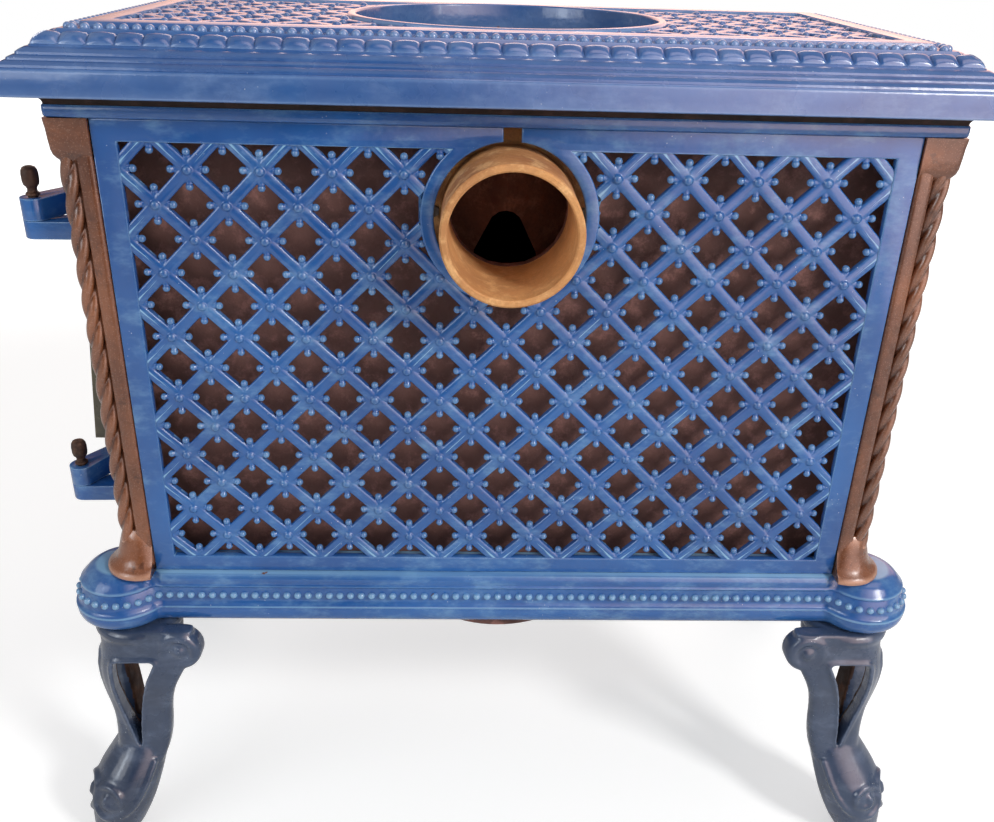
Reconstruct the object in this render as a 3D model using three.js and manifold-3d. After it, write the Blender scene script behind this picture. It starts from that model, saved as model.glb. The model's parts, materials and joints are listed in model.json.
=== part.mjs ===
// A free-standing enamelled cast-iron stove on four cabriole legs, in millimetres.
// +Z is up, +X is to the right of someone facing the flue side, and the flue spigot points to -Y.
// The origin is on the floor, under the middle of the body.
import * as THREE from "three";
import { mergeGeometries, mergeVertices } from "three/addons/utils/BufferGeometryUtils.js";
import Module from "manifold-3d";

const wasm = await Module();
wasm.setup();

// ---------------------------------------------------------------- driving dimensions
// Clearances
const seam = 0.3; // between castings that are clamped face to face
const slip = 0.6; // between a sliding or turning piece and what it moves past
const sink = 0.5; // how far a cast boss runs into the plate that it grows from

// Trellis
const pitch = 56; // corner to corner of one cell
const rearCells = 11;
const sideCells = 5;
const rowCells = 7;
const barWidth = 8.6;
const trellisInset = 5; // between the outermost cells' edge line and their cut-off openings
const borderSide = 14;
const borderTop = 10;
const borderBottom = 11;
const panelThickness = 8;
const fieldDepth = 3;

// Heights of the tiers
const legHeight = 250;
const baseHeight = 52;
const friezeHeight = 17;
const corniceHeight = 49;

// Corner posts
const postWidth = 30;
const postProud = 2; // how far the posts stand out from the panels
const ropeRadius = 7.8;
const ropeValley = 5.4;
const ropePoints = 3; // corners of the rope's section that stand clear of the post
const strandPitch = 26; // from one strand to the next along the post
const postBlock = 26; // plain block at the post's head
const footRadius = 34;
const footHeight = 40;
const footInset = 17; // foot's axis, in from the body's corner

// Base casting
const shelfWidth = 45;
const shelfThickness = 8;
const railWall = 12;
const bossRadius = 45;
const bossOutX = 6; // boss axis, outwards from the body's corner along X
const bossInY = 18; // boss axis, inwards from the body's corner along Y
const apronWidth = 104;
const apronDrop = 9;

// Legs
const collarRadius = 33;
const collarHeight = 24;
const voluteRadius = 24;
const voluteThickness = 20;
const windowHead = 0.828; // shares of the leg's height
const windowFoot = 0.488;
const windowWidth = 27;
const legBoltRadius = 4;
const legBoltHead = 6;

// Frieze and cornice
const friezeBand = 34;
const friezeReach = 12; // past the body, like the next one
const corniceReach = 26;
const corniceWall = 12;
const topHoleRadius = 136;
const topRingWall = 7;
const topRingHeight = 24;
const topPlateThickness = 6;
const topFlange = 16;
const trellisDrop = 1.4; // crest of the top's trellis, below its border

// Flue
const spigotRadius = 55.5;
const spigotBore = 49.5;
const spigotReach = 54; // proud of the rear panel
const spigotDrop = 72; // axis below the top of the body
const spigotFlange = 68;
const spigotBoltRadius = 2.5;
const flangeThickness = 8;
const cutoutRadius = 61;
const surroundRadius = 72;
const slotWidth = 14;
const flueBoxHalfWidth = 76;
const flueBoxDepth = 72;
const flueBoxWall = 6;
const throatWidth = 62;

// Firebox
const plateThickness = 8;
const backGap = 34; // between the rear panel's outer face and the firebox back
const sideGap = 24; // between the side panels and the firebox sides
const hobThickness = 7;
const hobBelowTop = 5;
const lidRadius = 107.5;
const lidLip = 10;
const lidThickness = 5;
const rebateDepth = 4;
const ledgeWidth = 12;
const ledgeThickness = 7;
const floorPlateThickness = 6;
const ashRoom = 26.4; // between the ash tray and the fire floor
const baffleDrop = 63; // below the firebox's top
const baffleThickness = 6;
const baffleDepth = 170;
const grateWidth = 300;
const grateDepth = 150;
const grateBars = 9;
const tieRodRadius = 3.5;
const tieNutRadius = 5.8;
const tieNutHeight = 4;

// Loading door, on the left side
const loadingFrom = -92; // the opening's ends along Y
const loadingTo = 118;
const loadingSill = 16; // above the fire floor's underside
const loadingHead = 18; // below the baffle
const loadingLapAcross = 15;
const loadingLapUpright = 36;
const sleeveWall = 5;
const sideDoorThickness = 11;
const sideDoorDish = 6;
const sideHingeOut = 38; // hinge axis, outwards from the body
const sideHingeIn = 42; // hinge axis, inwards from the body's rear face
const sideKnuckle = 11;
const sidePinRadius = 4;
const sideLugHeight = 15;
const doorLugHeight = 18;
const upperHingeDrop = 11; // the upper hinge's fixed lug, below the opening's head
const lowerHingeDrop = 50; // the lower hinge's fixed lug, below the opening's sill
const bulgeTopDrop = 30; // the door's raised field, below the opening's head
const bulgeFootDrop = 12;

// Fire door, on the front
const fireOpeningHalf = 232;
const fireSill = 10; // above the fire floor's underside
const fireHead = 31.3; // below the body's top
const fireLap = 14;
const fireDoorThickness = 11;
const glassLap = 8;
const glassThickness = 4;
const glassMargin = 24; // between the fire opening's edge and the pane's
const clipHeight = 10;
const clipThickness = 3;
const clipLap = 9; // past the glass at each end, on to the door
const fireHingeOut = 30; // hinge axis, past the opening's edge
const fireKnuckle = 8;
const firePinRadius = 3;
const fireLugHeight = 15;

// Latches and pins
const spindleRadius = 4.4;
const tongueLength = 30;
const tongueWidth = 12;
const tongueThickness = 4;
const leverLength = 62;
const pinHeadHeight = 25;

// Ash drawer
const drawerHalfWidth = 140;
const drawerHeight = 55;
const drawerLength = 240;
const drawerWall = 3;
const runnerHeight = 4;
const drawerFrontLap = 14;
const drawerFrontThickness = 6;
const airDiscRadius = 20;
const airDiscThickness = 3;
const airHoleRadius = 4.5;
const airHoleCircle = 12;
const airHoles = 3;
const airStudRadius = 3;
const airDiscInset = 48; // disc's centre, in from the tray's side

// ---------------------------------------------------------------- worked-out levels and faces
const rearHalf = (rearCells * pitch) / 2 + borderSide;
const sideHalf = (sideCells * pitch) / 2 + borderSide;
const bodyX = rearHalf + seam + postWidth;
const bodyY = sideHalf + seam + postWidth;
const baseTop = legHeight + baseHeight;
const panelBottom = baseTop + seam;
const panelHeight = rowCells * pitch + borderTop + borderBottom;
const bodyTop = panelBottom + panelHeight;
const friezeBottom = bodyTop + seam;
const friezeTop = friezeBottom + friezeHeight;
const corniceBottom = friezeTop + seam;
const corniceTop = corniceBottom + corniceHeight;
const faceX = bodyX - postProud; // outer face of the side panels
const faceY = bodyY - postProud; // outer face of the rear panel and the front frame
const spigotHeight = bodyTop - spigotDrop;
const backOuter = -(faceY - backGap); // firebox back's rear face
const backInner = backOuter + plateThickness;
const wallOuter = faceX - panelThickness - sideGap; // firebox side's outer face
const wallInner = wallOuter - plateThickness;
const frontInner = faceY - panelThickness; // front frame's inner face
const fireboxTop = bodyTop - hobBelowTop - hobThickness - seam;
const floorPlateBottom = baseTop + seam;
const floorPlateTop = floorPlateBottom + floorPlateThickness;
const drawerBottom = floorPlateTop + runnerHeight + seam;
const drawerTop = drawerBottom + drawerHeight;
const fireFloorHeight = drawerTop + ashRoom;
const baffleHeight = fireboxTop - baffleDrop;
const loadingOpening = {
  low: loadingFrom,
  high: loadingTo,
  bottom: fireFloorHeight + loadingSill,
  top: baffleHeight - loadingHead,
};
const upperHingeHeight = loadingOpening.top - upperHingeDrop;
const lowerHingeHeight = loadingOpening.bottom - lowerHingeDrop;
const fireOpening = {
  halfWidth: fireOpeningHalf,
  bottom: fireFloorHeight + fireSill,
  top: bodyTop - fireHead,
};
const glassHalfWidth = fireOpening.halfWidth - glassMargin;
const glassBottom = fireOpening.bottom + glassMargin;
const glassTop = fireOpening.top - glassMargin;
const fireMiddle = (fireOpening.bottom + fireOpening.top) / 2;

// ---------------------------------------------------------------- geometry helpers
// Position-only, with shared vertices and without collapsed faces, turned so that its faces point out.
function closed(geometry) {
  const bare = new THREE.BufferGeometry();
  bare.setAttribute("position", geometry.getAttribute("position").clone());
  if (geometry.index) bare.setIndex(geometry.index.clone());
  const merged = mergeVertices(bare, 1e-4);
  const faces = [];
  const source = merged.index.array;
  for (let i = 0; i < source.length; i += 3) {
    const [a, b, c] = [source[i], source[i + 1], source[i + 2]];
    if (a !== b && b !== c && a !== c) faces.push(a, b, c);
  }
  const p = merged.getAttribute("position");
  const [va, vb, vc] = [new THREE.Vector3(), new THREE.Vector3(), new THREE.Vector3()];
  let volume = 0;
  for (let i = 0; i < faces.length; i += 3) {
    va.fromBufferAttribute(p, faces[i]);
    vb.fromBufferAttribute(p, faces[i + 1]);
    vc.fromBufferAttribute(p, faces[i + 2]);
    volume += va.dot(vb.cross(vc));
  }
  if (volume < 0) {
    for (let i = 0; i < faces.length; i += 3) [faces[i], faces[i + 1]] = [faces[i + 1], faces[i]];
  }
  merged.setIndex(faces);
  return merged;
}

function toManifold(geometry) {
  const g = closed(geometry);
  return new wasm.Manifold(
    new wasm.Mesh({
      numProp: 3,
      vertProperties: new Float32Array(g.getAttribute("position").array),
      triVerts: new Uint32Array(g.index.array),
    }),
  );
}

function fromManifold(made) {
  const mesh = made.getMesh();
  const positions = new Float32Array(mesh.numVert * 3);
  for (let i = 0; i < mesh.numVert; i++) {
    positions.set(mesh.vertProperties.subarray(i * mesh.numProp, i * mesh.numProp + 3), i * 3);
  }
  const g = new THREE.BufferGeometry();
  g.setAttribute("position", new THREE.BufferAttribute(positions, 3));
  g.setIndex(new THREE.BufferAttribute(mesh.triVerts, 1));
  return g;
}

function join(...pieces) {
  return fromManifold(pieces.map(toManifold).reduce((a, b) => a.add(b)));
}

function cut(base, ...tools) {
  return fromManifold(tools.map(toManifold).reduce((a, b) => a.subtract(b), toManifold(base)));
}

function common(a, b) {
  return fromManifold(toManifold(a).intersect(toManifold(b)));
}

// Extrusions of a Shape: flat shapes in plan, in the XZ plane and in the YZ plane.
function slabZ(shape, from, to, curveSegments = 8) {
  const g = new THREE.ExtrudeGeometry(shape, { depth: to - from, bevelEnabled: false, curveSegments });
  return g.translate(0, 0, from);
}

function slabY(shape, from, to, curveSegments = 8) {
  const g = slabZ(shape, 0, to - from, curveSegments);
  return g.rotateX(Math.PI / 2).translate(0, to, 0);
}

function slabX(shape, from, to, curveSegments = 8) {
  const g = slabZ(shape, 0, to - from, curveSegments);
  const turn = new THREE.Matrix4().makeBasis(
    new THREE.Vector3(0, 1, 0),
    new THREE.Vector3(0, 0, 1),
    new THREE.Vector3(1, 0, 0),
  );
  return g.applyMatrix4(turn).translate(from, 0, 0);
}

function box(x0, x1, y0, y1, z0, z1) {
  const g = new THREE.BoxGeometry(x1 - x0, y1 - y0, z1 - z0);
  return g.translate((x0 + x1) / 2, (y0 + y1) / 2, (z0 + z1) / 2);
}

function rectangle(x0, x1, y0, y1) {
  return new THREE.Shape([
    new THREE.Vector2(x0, y0),
    new THREE.Vector2(x1, y0),
    new THREE.Vector2(x1, y1),
    new THREE.Vector2(x0, y1),
  ]);
}

function polygon(points) {
  return new THREE.Shape(points.map(([x, y]) => new THREE.Vector2(x, y)));
}

// A circle as a regular polygon.
function round(x, y, radius, sides) {
  const points = [];
  for (let i = 0; i < sides; i++) {
    const angle = (2 * Math.PI * i) / sides;
    points.push([x + radius * Math.cos(angle), y + radius * Math.sin(angle)]);
  }
  return polygon(points);
}

// A turned piece about Z, from [radius, height] pairs.
function turned(profile, segments) {
  const g = new THREE.LatheGeometry(
    profile.map(([r, h]) => new THREE.Vector2(r, h)),
    segments,
  );
  return g.rotateX(Math.PI / 2);
}

// The same with its axis along Y: heights run towards +Y. Along X: heights run towards +X.
const turnedY = (profile, segments) => turned(profile, segments).rotateX(-Math.PI / 2);
const turnedX = (profile, segments) => turned(profile, segments).rotateY(Math.PI / 2);

const rod = (radius, from, to, segments = 12) => [
  [0, from],
  [radius, from],
  [radius, to],
  [0, to],
];

// A solid through rings of points, all with the same number of points, closed at both ends.
function loft(rings) {
  const count = rings[0].length;
  const positions = rings.flat().flatMap((p) => [p.x, p.y, p.z]);
  const faces = [];
  for (let r = 0; r + 1 < rings.length; r++) {
    for (let i = 0; i < count; i++) {
      const [a, b] = [r * count + i, r * count + ((i + 1) % count)];
      faces.push(a, b, b + count, a, b + count, a + count);
    }
  }
  const outline = rings[0].map((p) => new THREE.Vector2(p.x, p.y));
  const top = (rings.length - 1) * count;
  for (const [a, b, c] of THREE.ShapeUtils.triangulateShape(outline, [])) {
    faces.push(a, c, b, top + a, top + b, top + c);
  }
  const g = new THREE.BufferGeometry();
  g.setAttribute("position", new THREE.Float32BufferAttribute(positions, 3));
  g.setIndex(faces);
  return g;
}

// A moulding run round a rectangle with mitred corners. The profile is closed, in [outwards, height].
function mitredRing(profile, halfX, halfY) {
  const corners = [
    [-1, -1],
    [1, -1],
    [1, 1],
    [-1, 1],
  ];
  const positions = [];
  for (const [sx, sy] of corners) {
    for (const [out, z] of profile) positions.push(sx * (halfX + out), sy * (halfY + out), z);
  }
  const n = profile.length;
  const faces = [];
  for (let c = 0; c < 4; c++) {
    for (let i = 0; i < n; i++) {
      const [a, b] = [c * n + i, c * n + ((i + 1) % n)];
      const [d, e] = [((c + 1) % 4) * n + i, ((c + 1) % 4) * n + ((i + 1) % n)];
      faces.push(a, b, e, a, e, d);
    }
  }
  const g = new THREE.BufferGeometry();
  g.setAttribute("position", new THREE.Float32BufferAttribute(positions, 3));
  g.setIndex(faces);
  return g;
}

// ---------------------------------------------------------------- trellis
// Openings of a trellis field, from its lower left corner: whole diamonds inside, and halves on the
// edges of a framed field.
function trellisOpenings(cellsWide, cellsHigh, framed) {
  const half = pitch / 2 - barWidth / Math.SQRT2;
  const cutOff = half - trellisInset;
  const openings = [];
  const diamond = (x, y) => [
    [x - half, y],
    [x, y - half],
    [x + half, y],
    [x, y + half],
  ];
  for (let i = 0; i < cellsWide; i++) {
    for (let j = 0; j < cellsHigh; j++) {
      openings.push(diamond((i + 0.5) * pitch, (j + 0.5) * pitch));
      if (i > 0 && j > 0) openings.push(diamond(i * pitch, j * pitch));
    }
  }
  if (!framed) return openings;
  for (let i = 1; i < cellsWide; i++) {
    for (const [y, way] of [
      [0, 1],
      [cellsHigh * pitch, -1],
    ]) {
      const [x, edge] = [i * pitch, y + way * trellisInset];
      openings.push([
        [x - cutOff, edge],
        [x + cutOff, edge],
        [x, y + way * half],
      ]);
    }
  }
  for (let j = 1; j < cellsHigh; j++) {
    for (const [x, way] of [
      [0, 1],
      [cellsWide * pitch, -1],
    ]) {
      const [y, edge] = [j * pitch, x + way * trellisInset];
      openings.push([
        [edge, y - cutOff],
        [edge, y + cutOff],
        [x + way * half, y],
      ]);
    }
  }
  return openings;
}

// A flat casting in the shape's plane, pierced by a trellis that may stop at a round blank.
function trellisSlab(slab, outline, openings, from, to, blank) {
  const prisms = openings.map((points) => slab(polygon(points), from - 1, to + 1));
  let through = mergeGeometries(prisms);
  if (blank) {
    const disc = round(blank.x, blank.y, blank.radius, 32);
    through = cut(through, slab(disc, from - 2, to + 2));
  }
  return cut(slab(outline, from, to), through);
}

const shifted = (openings, dx, dy) => openings.map((o) => o.map(([x, y]) => [x + dx, y + dy]));

// ---------------------------------------------------------------- castings
function baseFrame() {
  const [z0, z1] = [legHeight, baseTop];
  const h = z1 - z0;
  const profile = [
    [3, z0],
    [7, z0 + 0.14 * h],
    [7, z0 + 0.3 * h],
    [4.5, z0 + 0.4 * h],
    [4.5, z0 + 0.72 * h],
    [6.5, z0 + 0.86 * h],
    [4, z1],
  ];
  const inside = [
    [-shelfWidth, z1],
    [-shelfWidth, z1 - shelfThickness],
    [-railWall, z1 - shelfThickness],
    [-railWall, z0],
  ];
  const rail = mitredRing([...profile, ...inside], bodyX, bodyY);
  const bossProfile = [[0, z0], ...profile.map(([out, z]) => [bossRadius - 7 + out, z]), [0, z1]];
  const pieces = [rail];
  for (const [sx, sy] of cornerSigns) {
    const boss = turned(bossProfile, 12);
    const at = bossCentre(sx, sy);
    pieces.push(boss.translate(at.x, at.y, 0));
  }
  const lobe = new THREE.Shape();
  lobe.moveTo(-apronWidth / 2, z0 + 3);
  lobe.quadraticCurveTo(0, z0 - 2 * apronDrop, apronWidth / 2, z0 + 3);
  lobe.closePath();
  pieces.push(slabY(lobe, -(bodyY + 1), -(bodyY - railWall + 2), 5));
  const [roomX, roomY] = [bodyX - railWall, bodyY - railWall];
  const holes = [box(-roomX, roomX, -roomY, roomY, z0 - 20, z1 - shelfThickness)];
  for (const [sx, sy] of cornerSigns) {
    const at = bossCentre(sx, sy);
    const bore = turned(rod(legBoltRadius + 2 * slip, z0 - 1, z0 + 0.5 * h), 6);
    holes.push(bore.translate(at.x, at.y, 0));
    const rodHole = turned(rod(tieRodRadius + slip, z1 - shelfThickness - 1, z1 + 1), 8);
    holes.push(rodHole.translate(sx * tieRodX, sy * tieRodY, 0));
  }
  return cut(join(...pieces), ...holes);
}

const cornerSigns = [
  [-1, -1],
  [1, -1],
  [-1, 1],
  [1, 1],
];
const cornerNames = ["rear_left", "rear_right", "front_left", "front_right"];
const tieRodX = wallOuter + sideGap / 2;
const tieRodY = bodyY - friezeBand - 10;

function bossCentre(sx, sy) {
  return new THREE.Vector2(sx * (bodyX + bossOutX), sy * (bodyY - bossInY));
}

// In a corner's own frame x and y run inwards from the body's corner, and z is height.
// One cabriole leg: an angle-section casting whose corner swells at the knee and the toe.
function leg() {
  const collarTop = legHeight - seam;
  const collarFoot = collarTop - collarHeight;
  // share of the leg's height, corner's reach outwards, arm length, thickness
  const stations = [
    [0, 38, 26, 24],
    [0.028, 45, 40, 38],
    [0.152, 54, 62, 54],
    [0.248, 58, 73, 54],
    [0.336, 54, 70, 44],
    [0.404, 40, 59, 29],
    [0.48, 28, 54, 18],
    [0.625, 26, 57, 14],
    [0.745, 28, 71, 13],
    [0.865, 31, 92, 13],
    [1, 30, 92, 14],
  ];
  const rings = stations.map(([share, out, arm, thick]) => {
    const round = 0.35 * thick;
    const corner = [
      [round, 0],
      [arm, 0],
      [arm, thick],
      [thick, thick],
      [thick, arm],
      [0, arm],
      [0, round],
      [0.3 * round, 0.3 * round],
    ];
    return corner.map(([u, v]) => new THREE.Vector3(u - out, v - out, share * collarTop));
  });
  const collar = turned(
    [
      [0, collarFoot],
      [collarRadius - 2, collarFoot],
      [collarRadius - 2, collarTop - 9],
      [collarRadius + 3, collarTop - 6],
      [collarRadius + 3, collarTop],
      [0, collarTop],
    ],
    8,
  ).translate(-bossOutX, bossInY, 0);
  const kneeOut = 31;
  const kneeArm = 100;
  const voluteAt = kneeArm - kneeOut - voluteRadius + 4;
  const voluteHeight = legHeight - voluteRadius - 1;
  const scroll = [
    [0, 0],
    [voluteRadius, 0],
    [voluteRadius, voluteThickness],
    [0, voluteThickness],
  ];
  const voluteRear = turnedY(scroll, 8).translate(voluteAt, -kneeOut - 4, voluteHeight);
  const voluteSide = turnedX(scroll, 8).translate(-kneeOut - 4, voluteAt, voluteHeight);
  const windowMiddle = 3;
  const [foot, head] = [windowFoot * legHeight, windowHead * legHeight];
  const window = polygon([
    [windowMiddle - windowWidth / 2, head],
    [windowMiddle - windowWidth / 3, foot + 0.4 * (head - foot)],
    [windowMiddle - 5, foot],
    [windowMiddle + windowWidth / 3, foot + 0.65 * (head - foot)],
    [windowMiddle + windowWidth / 2, head],
  ]);
  const body = join(loft(rings), collar, voluteRear, voluteSide);
  const bolt = turned(rod(legBoltRadius + 2 * slip, collarFoot - 1, collarTop + 1), 6);
  return cut(
    body,
    slabY(window, -2 * kneeOut, -6, 1),
    slabX(window, -2 * kneeOut, -6, 1),
    bolt.translate(-bossOutX, bossInY, 0),
  );
}

function legBolt() {
  const headTop = legHeight - seam - collarHeight - seam;
  return turned(
    [
      [0, headTop - legBoltHead],
      [2 * legBoltRadius, headTop - legBoltHead],
      [2 * legBoltRadius, headTop],
      [legBoltRadius, headTop],
      [legBoltRadius, legHeight + 0.4 * baseHeight],
      [0, legHeight + 0.4 * baseHeight],
    ],
    6,
  ).translate(-bossOutX, bossInY, 0);
}

// A post's section has a half-round strip and a fillet on each face, and a rope on the corner.
// The rope's strands climb towards the left, seen from outside, on every corner.
function cornerPost(hand) {
  const faceSide = [
    [postWidth, 2],
    [postWidth - 3, 0],
    [postWidth - 7, 0],
    [postWidth - 10, 2],
    [postWidth - 14, 2.5],
    [postWidth - 14.5, 5.5],
  ];
  const flank = [...faceSide.map(([u, v]) => [v, u]).reverse(), [postWidth, postWidth], ...faceSide];
  const ropeCentre = ropeRadius + 0.4;
  const seamAngle = Math.atan2(flank[0][1] - ropeCentre, flank[0][0] - ropeCentre);
  const step = (1.5 * Math.PI - 2 * (seamAngle - Math.PI / 4) + Math.PI / 2) / (ropePoints + 1);
  const levels = Math.round((bodyTop - panelBottom) / (strandPitch / 2));
  const positions = [];
  for (let k = 0; k <= levels; k++) {
    const z = panelBottom + (k * (bodyTop - panelBottom)) / levels;
    positions.push(...flank[0], z);
    for (let i = 1; i <= ropePoints; i++) {
      const radius = (i + k) % 2 ? ropeValley : ropeRadius;
      const angle = seamAngle + i * step;
      positions.push(
        ropeCentre + radius * Math.cos(angle),
        ropeCentre + radius * Math.sin(angle),
        z,
      );
    }
    positions.push(...flank[flank.length - 1], z);
  }
  const column = ropePoints + 2;
  const faces = [];
  for (let k = 0; k < levels; k++) {
    for (let i = 0; i + 1 < column; i++) {
      const [a, b] = [k * column + i, k * column + i + 1];
      const [c, d] = [b + column, a + column];
      if (hand > 0) faces.push(a, b, c, a, c, d);
      else faces.push(a, b, d, b, c, d);
    }
  }
  // The flank's points stand at the foot and at the head only, after the rope's.
  const start = positions.length / 3;
  const inner = flank.slice(1, -1);
  for (const [x, y] of inner) positions.push(x, y, panelBottom, x, y, bodyTop);
  const foot = (i) => start + 2 * i;
  const head = (i) => start + 2 * i + 1;
  const last = inner.length - 1;
  for (let i = 0; i < last; i++) {
    faces.push(foot(i), head(i), head(i + 1), foot(i), head(i + 1), foot(i + 1));
  }
  for (let k = 0; k < levels; k++) {
    const [a, b] = [k * column, (k + 1) * column];
    faces.push(a, b, foot(0), b - 1, foot(last), b + column - 1);
  }
  const lastRing = levels * column;
  faces.push(lastRing, head(0), foot(0));
  faces.push(foot(last), head(last), lastRing + column - 1);
  const rim = [];
  for (let i = 0; i < column; i++) rim.push(i);
  const outline = [...rim.map((i) => [positions[3 * i], positions[3 * i + 1]]), ...inner.reverse()];
  const bottomIndex = [...rim, ...inner.map((_, i) => foot(last - i))];
  const topIndex = [...rim.map((i) => lastRing + i), ...inner.map((_, i) => head(last - i))];
  const flat = outline.map(([x, y]) => new THREE.Vector2(x, y));
  const topRim = [...outline];
  for (let i = 0; i < column; i++) {
    topRim[i] = [positions[3 * (lastRing + i)], positions[3 * (lastRing + i) + 1]];
  }
  const flatTop = topRim.map(([x, y]) => new THREE.Vector2(x, y));
  for (const [a, b, c] of THREE.ShapeUtils.triangulateShape(flat, [])) {
    faces.push(bottomIndex[a], bottomIndex[c], bottomIndex[b]);
  }
  for (const [a, b, c] of THREE.ShapeUtils.triangulateShape(flatTop, [])) {
    faces.push(topIndex[a], topIndex[b], topIndex[c]);
  }
  const shaft = new THREE.BufferGeometry();
  shaft.setAttribute("position", new THREE.Float32BufferAttribute(positions, 3));
  shaft.setIndex(faces);
  const block = box(0.5, postWidth, 0.5, postWidth, bodyTop - postBlock, bodyTop);
  const flare = turned(
    [
      [0, panelBottom],
      [footRadius, panelBottom],
      [footRadius - 1, panelBottom + 4],
      [0.8 * footRadius, panelBottom + 0.2 * footHeight],
      [0.66 * footRadius, panelBottom + 0.45 * footHeight],
      [0.56 * footRadius, panelBottom + footHeight],
      [0, panelBottom + footHeight],
    ],
    10,
  ).translate(footInset, footInset, 0);
  const quadrant = box(-footRadius, postWidth, -footRadius, postWidth, panelBottom, bodyTop);
  return join(shaft, block, common(flare, quadrant));
}

function rearPanel() {
  const z0 = panelBottom;
  const outline = polygon([
    [-rearHalf, z0],
    [rearHalf, z0],
    [rearHalf, z0 + panelHeight],
    [slotWidth / 2, z0 + panelHeight],
    [slotWidth / 2, spigotHeight],
    [-slotWidth / 2, spigotHeight],
    [-slotWidth / 2, z0 + panelHeight],
    [-rearHalf, z0 + panelHeight],
  ]);
  const openings = shifted(
    trellisOpenings(rearCells, rowCells, true),
    (-rearCells * pitch) / 2,
    z0 + borderBottom,
  );
  const blank = { x: 0, y: spigotHeight, radius: surroundRadius };
  const plate = trellisSlab(slabY, outline, openings, -faceY, -(faceY - panelThickness), blank);
  const disc = round(0, spigotHeight, cutoutRadius, 28);
  return cut(plate, slabY(disc, -faceY - 1, -faceY + panelThickness + 1));
}

// The same trellis in low relief on a closed plate.
function rightSidePanel() {
  const outline = rectangle(-sideHalf, sideHalf, panelBottom, panelBottom + panelHeight);
  const pockets = shifted(
    trellisOpenings(sideCells, rowCells, false),
    (-sideCells * pitch) / 2,
    panelBottom + borderBottom,
  ).map((points) => slabX(polygon(points), faceX - fieldDepth, faceX + 1));
  return cut(slabX(outline, faceX - panelThickness, faceX), mergeGeometries(pockets));
}

// ---------------------------------------------------------------- hinges
// A lug in plan: round about the hinge axis, running to two points on the casting that carries it.
function lug(centre, radius, roots, from, to, bore) {
  const [[ax, ay], [bx, by]] = roots;
  const away = Math.atan2(centre.y - (ay + by) / 2, centre.x - (ax + bx) / 2);
  const along = ([x, y]) => y * Math.cos(away) - x * Math.sin(away);
  const shape = new THREE.Shape();
  shape.absarc(centre.x, centre.y, radius, away - Math.PI / 2, away + Math.PI / 2, false);
  for (const [x, y] of [...roots].sort((p, q) => along(q) - along(p))) shape.lineTo(x, y);
  shape.closePath();
  const solid = slabZ(shape, from, to, 6);
  const hole = turned(rod(bore, from - 1, to + 1), 8).translate(centre.x, centre.y, 0);
  return cut(solid, hole);
}

function hingePin(radius, headRadius, from, to) {
  return turned(
    [
      [0, from],
      [radius, from],
      [radius, to],
      [radius + 1.8, to],
      [radius + 1, to + 0.24 * pinHeadHeight],
      [headRadius, to + 0.32 * pinHeadHeight],
      [headRadius, to + 0.84 * pinHeadHeight],
      [0.5 * headRadius, to + pinHeadHeight],
      [0, to + pinHeadHeight],
    ],
    8,
  );
}

const sideHinge = new THREE.Vector2(-(bodyX + sideHingeOut), -(bodyY - sideHingeIn));
const fireHinge = new THREE.Vector2(fireOpening.halfWidth + fireHingeOut, faceY + 12);

function leftSidePanel() {
  const { low, high, bottom, top } = loadingOpening;
  const outline = rectangle(-sideHalf, sideHalf, panelBottom, panelBottom + panelHeight);
  outline.holes.push(rectangle(low, high, bottom, top));
  const plate = slabX(outline, -faceX, -faceX + panelThickness);
  const root = -faceX + sink;
  const lugs = [upperHingeHeight, lowerHingeHeight].map((z) =>
    lug(
      sideHinge,
      sideKnuckle,
      [
        [root, sideHinge.y + 16],
        [root, -sideHalf + 2],
      ],
      z,
      z + sideLugHeight,
      sidePinRadius + slip,
    ),
  );
  return join(plate, ...lugs);
}

function sideDoor() {
  const { low, high, bottom, top } = loadingOpening;
  const [y0, y1] = [low - loadingLapAcross, high + loadingLapAcross];
  const [z0, z1] = [bottom - loadingLapUpright, top + loadingLapUpright];
  const bulgeEnd = sideLatch.y - 20;
  const inner = -(faceX + seam);
  const outer = inner - sideDoorThickness;
  const plate = box(outer, inner, y0, y1, z0, z1);
  const bulgeFoot = bottom - bulgeFootDrop;
  const bulgeTop = top - bulgeTopDrop;
  const bulge = [
    [y0 + 8, bulgeFoot, 30],
    [bulgeEnd, bulgeFoot, 30],
    [bulgeEnd, bulgeTop, 12],
    [y0 + 8, bulgeTop, 12],
  ];
  const raised = loft([
    bulge.map(([y, z]) => new THREE.Vector3(y, z, 0)),
    bulge.map(([y, z, out]) => new THREE.Vector3(y, z, out + sink)),
  ]);
  const stand = new THREE.Matrix4().makeBasis(
    new THREE.Vector3(0, 1, 0),
    new THREE.Vector3(0, 0, 1),
    new THREE.Vector3(-1, 0, 0),
  );
  raised.applyMatrix4(stand).translate(outer + sink, 0, 0);
  const lugs = [upperHingeHeight, lowerHingeHeight].map((z) =>
    lug(
      sideHinge,
      sideKnuckle,
      [
        [outer + 1, y0 + 26],
        [outer + 1, y0 + 1],
      ],
      z + sideLugHeight + seam,
      z + sideLugHeight + seam + doorLugHeight,
      sidePinRadius + slip,
    ),
  );
  const dish = box(
    inner - sideDoorDish,
    inner + 1,
    low + 2,
    high - 30,
    bottom + 4,
    top - 4,
  );
  const spindle = turnedX(rod(spindleRadius + slip, outer - leverLength, inner + 1), 8);
  spindle.translate(0, sideLatch.y, sideLatch.z);
  return cut(join(plate, raised, ...lugs), dish, spindle);
}

const sideLatch = { y: loadingOpening.high - tongueWidth, z: loadingOpening.top - 24 };
const fireLatch = { x: -(fireOpening.halfWidth - tongueWidth + 2), z: fireMiddle };

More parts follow.
